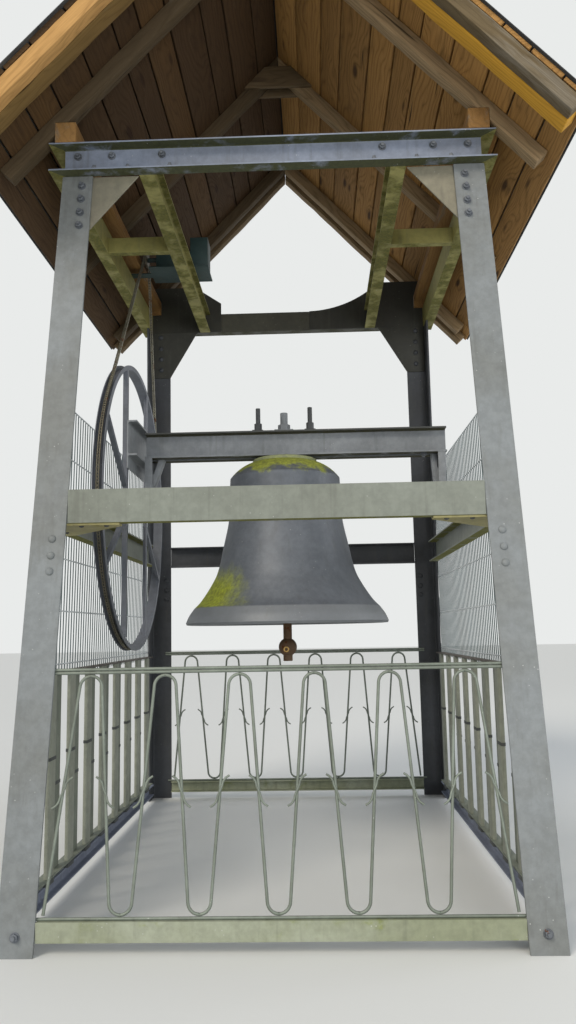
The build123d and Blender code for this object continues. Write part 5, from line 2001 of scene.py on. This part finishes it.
@dataclass
class BellCasting(Assembly):
    """The bell, turned about its own axis, with its crown, waist, sound bow and hollow."""

    steps: int = 128
    edge_rise: float = 0.014
    crown: tuple[tuple[float, float], ...] = ((0.0, 0.0), (0.105, 0.0), (0.196, 0.018),
                                              (0.204, 0.022), (0.207, 0.040))
    neck: tuple[float, float] = (0.350, 0.143)
    roof: tuple[float, float] = (0.197, 0.046)
    bulges: tuple[float, float] = (0.014, 0.009)
    waist: tuple[tuple[float, float], ...] = (
        (0.355, 0.800), (0.361, 0.645), (0.392, 0.492), (0.430, 0.326), (0.472, 0.235),
        (0.536, 0.137), (0.582, 0.088))
    bow: tuple[tuple[float, float], ...] = ((0.582, 0.088), (0.613, 0.044), (0.633, 0.0))
    edge: tuple[tuple[float, float], ...] = ((0.627, -0.012), (0.603, -0.014))
    hollow: tuple[tuple[float, float], ...] = (
        (0.578, 0.008), (0.548, 0.056), (0.482, 0.137), (0.402, 0.326), (0.361, 0.492),
        (0.324, 0.645), (0.319, 0.800))
    under_neck: tuple[float, float] = (0.3212, 0.1718)

    def build(self) -> None:
        """Makes the bell."""
        low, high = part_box("bell")
        centre = (low + high) / 2
        lip, top = low.z + self.edge_rise, high.z

        def hung(point: tuple[float, float]) -> tuple[float, float]:
            """Gives a point from its radius and its drop below the top."""
            return point[0], top - point[1]

        def stood(points: Sequence[tuple[float, float]]) -> list[tuple[float, float]]:
            """Gives points from their radius and their rise over the lip."""
            return [(radius, lip + rise) for radius, rise in points]

        neck, under_neck = hung(self.neck), hung(self.under_neck)
        outer = [hung(point) for point in self.crown]
        outer += bulged(outer[-1], neck, self.bulges[0], 8)[1:]
        outer += spline([neck, *stood(self.waist)], 8)[1:]
        outer += spline(stood(self.bow), 8)[1:] + stood(self.edge)
        inner = spline([*stood(self.hollow), under_neck], 6)
        inner += bulged(under_neck, hung(self.roof), -self.bulges[1], 6)[1:]
        shape = lathe(outer + inner + [hung((0.0, self.roof[1]))], self.steps,
                      Vector((centre.x, centre.y, 0)), "Z")
        piece = self.shop.mesh("bell_casting", shape, SMOOTH)
        self.shop.publish(piece, Slot.BELL, Finish.BELL, "bell", body=Body.BELL)


@dataclass
class YokeSet(Assembly):
    """Yoke channels, cross channel, cranks, bearings, wheel and the bolts that hang the bell."""

    root: float = 0.010
    chamfer: float = 0.0016
    forged_edge: float = 0.0015
    housing_root: float = 0.006
    housing_edge: float = 0.003

    def build(self) -> None:
        """Makes the yoke and what hangs from it."""
        for node, finish in (("yoke_channels", Finish.YOKE_CHANNEL),
                             ("yoke_cross_channel", Finish.YOKE)):
            self.shop.dress(node, "rolled", Slot.YOKE, finish, Body.BELL, self.root, self.chamfer)
        for node, finish in (("crank_left", Finish.YOKE), ("crank_right", Finish.YOKE),
                             ("hanger_bolts", Finish.HOUSING), ("clapper_staple", Finish.YOKE)):
            self.shop.dress(node, "forged", Slot.YOKE, finish, Body.BELL,
                            chamfer=self.forged_edge, smooth=SMOOTH)
        for name in SIDES:
            self.shop.dress(f"bearing_{name}", "housing", Slot.HOUSING, Finish.HOUSING,
                            root=self.housing_root, chamfer=self.housing_edge, smooth=SMOOTH)
        self.shop.dress("bell_wheel", "rim", Slot.YOKE, Finish.WHEEL, Body.BELL, smooth=SMOOTH)


@dataclass
class Drive(Assembly):
    """The geared motor, its sprocket and the chain."""

    pitch: float = 0.01905
    width: float = 0.018
    depth: float = 0.014
    sprocket_radius: float = 0.060
    motor_edge: float = 0.003
    path_step: float = 0.03

    def build(self) -> None:
        """Makes the motor, the sprocket and the chain."""
        self.shop.dress("drive_motor", "housing", Slot.DRIVE, Finish.DRIVE,
                        chamfer=self.motor_edge, smooth=SMOOTH)
        self.shop.dress("drive_sprocket", "turned", Slot.CHAIN, Finish.CHAIN, smooth=SMOOTH)
        self.chain()

    def chain(self) -> None:
        """Runs the chain round the sprocket and round the wheel."""
        low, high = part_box("drive_chain")
        x = (low.x + high.x) / 2
        outer = (high.y - low.y) / 2
        wheel_low, wheel_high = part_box("bell_wheel")
        pivot = (wheel_low + wheel_high) / 2
        radius = outer - self.depth / 2
        small = self.sprocket_radius
        sprocket_low, sprocket_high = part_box("drive_sprocket")
        drive = (sprocket_low + sprocket_high) / 2
        between = Vector((drive.y - pivot.y, drive.z - pivot.z))
        lean = math.atan2(between.y, between.x)
        spread = math.acos((radius - small) / between.length)
        points = []
        for centre, r, start, stop in ((drive, small, lean - spread, lean + spread),
                                       (pivot, radius, lean + spread,
                                        lean - spread + 2 * math.pi)):
            steps = max(8, int(abs(stop - start) * r / self.path_step))
            for i in range(steps + 1):
                angle = start + (stop - start) * i / steps
                points.append(Vector((x, centre.y + r * math.cos(angle),
                                      centre.z + r * math.sin(angle))))
        self.shop.plant("drive_chain_links", edge_mesh([points], closed=True), self.trees.chain,
                        Slot.CHAIN, Finish.CHAIN, {
                            "Pitch": self.pitch, "Width": self.width, "Depth": self.depth},
                        "drive_chain")


@dataclass
class ClapperSet(Assembly):
    """The clapper with its stub and a pale gold ring on the front of its ball, which is a painted
    highlight.
    """

    steps: int = 48
    stub_radius: float = 0.029
    stub_height: float = 0.045
    edge: float = 0.003
    ring_place: tuple[float, float] = (-0.008, 1.204)
    ring_profile: tuple[tuple[float, float], ...] = (
        (0.0090, 0.006), (0.0090, -0.002), (0.0115, -0.0045), (0.0155, -0.0045),
        (0.0180, -0.002), (0.0180, 0.008))

    def build(self) -> None:
        """Makes the clapper."""
        self.shop.dress("clapper", "forged", Slot.CLAPPER, Finish.CLAPPER, Body.CLAPPER,
                        smooth=SMOOTH)
        low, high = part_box("clapper")
        axis = Vector(((low.x + high.x) / 2, (low.y + high.y) / 2, low.z))
        radius, height = self.stub_radius, self.stub_height
        stub = lathe([(0.0, 0.0), (radius - self.edge, 0.0), (radius, self.edge),
                      (radius, height), (0.0, height)], self.steps, axis, "Z")
        # The ring on the ball is a painted highlight.
        x, z = self.ring_place
        place, _ = self.shop.seat("clapper", (x, -1.0, z), (0, 1, 0))
        ring = lathe(self.ring_profile, self.steps, place, "Y")
        for name, shape, finish in (("clapper_stub", stub, Finish.CLAPPER),
                                    ("clapper_ring", ring, Finish.CLAPPER_RING)):
            self.shop.publish(self.shop.mesh(name, shape, SMOOTH), Slot.CLAPPER, finish,
                              body=Body.CLAPPER)


@dataclass(frozen=True)
class Fill:
    """A broad lamp: its name, power, place and width."""

    name: str
    power: float
    place: tuple[float, float, float]
    size: float


@dataclass
class Studio:
    """Floor, lamps, world and camera."""

    camera_place: tuple[float, float, float] = (0.1797, -5.3701, 1.3153)
    camera_pitch: float = 7.92068
    camera_yaw: float = -1.73509
    camera_roll: float = -1.01288
    lens: float = 30.09
    sensor: float = 36.0
    backdrop: str = "e9ebea"
    ambient: str = "dfe6ee"
    ambient_strength: float = 0.62
    floor_color: str = "dedfdd"
    floor_roughness: float = 0.9
    floor_half: float = 60.0
    sun_strength: float = 1.75
    sun_angle: float = 25.0
    sun_color: str = "fff6e8"
    sun_place: tuple[float, float, float] = (-4.0, -6.0, 7.0)
    sun_target: tuple[float, float, float] = (0.0, 0.0, 1.5)
    fills: tuple[Fill, ...] = (Fill("front_fill", 272.0, (3.4, -9.5, 3.0), 3.8),
                               Fill("right_fill", 250.0, (10.5, 0.8, 4.6), 4.0))
    fill_target: tuple[float, float, float] = (0.0, 0.0, 4.2)

    def build(self) -> None:
        """Makes the studio."""
        self.floor()
        self.world()
        self.lamps()
        self.camera()
        bpy.context.scene.view_settings.view_transform = "Standard"

    def floor(self) -> None:
        """Lays a plain pale floor that keeps the shadow."""
        shape = bmesh.new()
        bmesh.ops.create_grid(shape, x_segments=1, y_segments=1, size=self.floor_half)
        mesh = bpy.data.meshes.new("studio_floor")
        shape.to_mesh(mesh)
        shape.free()
        floor = put_in_scene("studio_floor", mesh)
        surface = Surface("studio_floor")
        surface.graph.fill(surface.shader, {"Base Color": srgb(self.floor_color),
                                            "Roughness": self.floor_roughness})
        mesh.materials.append(surface.material)

    def world(self) -> None:
        """Makes a world that lights softly and shows a pale backdrop."""
        world = bpy.data.worlds.new("studio")
        world.use_nodes = True
        world.node_tree.nodes.clear()
        graph = Graph(world.node_tree)
        path = graph.node("ShaderNodeLightPath").outputs
        camera, glossy, clear = (Value(graph, path[f"Is {kind} Ray"])
                                 for kind in ("Camera", "Glossy", "Transmission"))
        seen = graph.math("MAXIMUM", camera, graph.math("MAXIMUM", glossy, clear))
        color = graph.mix(seen, srgb(self.ambient), srgb(self.backdrop))
        strength = graph.remap(seen, 0.0, 1.0, self.ambient_strength, 1.0)
        shade = graph.out("ShaderNodeBackground", {"Color": color, "Strength": strength})
        graph.node("ShaderNodeOutputWorld", {"Surface": shade})
        bpy.context.scene.world = world

    def lamps(self) -> None:
        """Sets one broad sun and two soft fills."""
        sun = bpy.data.lights.new("sun", "SUN")
        sun.energy = self.sun_strength
        sun.angle = math.radians(self.sun_angle)
        sun.color = srgb(self.sun_color)[:3]
        self.put(sun, self.sun_place, self.sun_target)
        for fill in self.fills:
            lamp = bpy.data.lights.new(fill.name, "AREA")
            lamp.energy = fill.power
            lamp.size = fill.size
            self.put(lamp, fill.place, self.fill_target)

    def put(self, lamp: bpy.types.Light, place: Sequence[float],
            target: Sequence[float]) -> None:
        """Places a lamp and aims it.

        Args:
            lamp: The lamp.
            place: Where it stands.
            target: What it points at.
        """
        item = put_in_scene(lamp.name, lamp)
        item.location = place
        aim = Vector(target) - Vector(place)
        item.rotation_euler = aim.to_track_quat("-Z", "Y").to_euler()

    def camera(self) -> None:
        """Sets the camera at the photograph's angle."""
        data = bpy.data.cameras.new("camera")
        data.sensor_fit = "VERTICAL"
        data.sensor_height = self.sensor
        data.lens = self.lens
        data.clip_end = 200.0
        item = put_in_scene("camera", data)
        pitch, yaw, roll = (math.radians(a) for a in (self.camera_pitch, self.camera_yaw,
                                                      self.camera_roll))
        forward = Vector((math.sin(yaw) * math.cos(pitch), math.cos(yaw) * math.cos(pitch),
                          math.sin(pitch)))
        right = Vector((math.cos(yaw), -math.sin(yaw), 0))
        up = right.cross(forward)
        turned_right = math.cos(roll) * right + math.sin(roll) * up
        turned_up = -math.sin(roll) * right + math.cos(roll) * up
        axes = Matrix((turned_right, turned_up, -forward)).transposed()
        item.matrix_world = Matrix.Translation(self.camera_place) @ axes.to_4x4()
        bpy.context.scene.camera = item


def main() -> None:
    """Builds every sub-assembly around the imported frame."""
    logging.basicConfig(level=logging.INFO, format="%(message)s")
    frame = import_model()
    shop = Workshop(frame["nodes"])
    trees = Trees()
    for assembly in (SteelFrame, Fasteners, RailingSet, SideFences, MeshPanels, Roof,
                     BellCasting, YokeSet, Drive, ClapperSet):
        assembly(shop, trees).build()
    Studio().build()


if __name__ == "__main__":
    main()
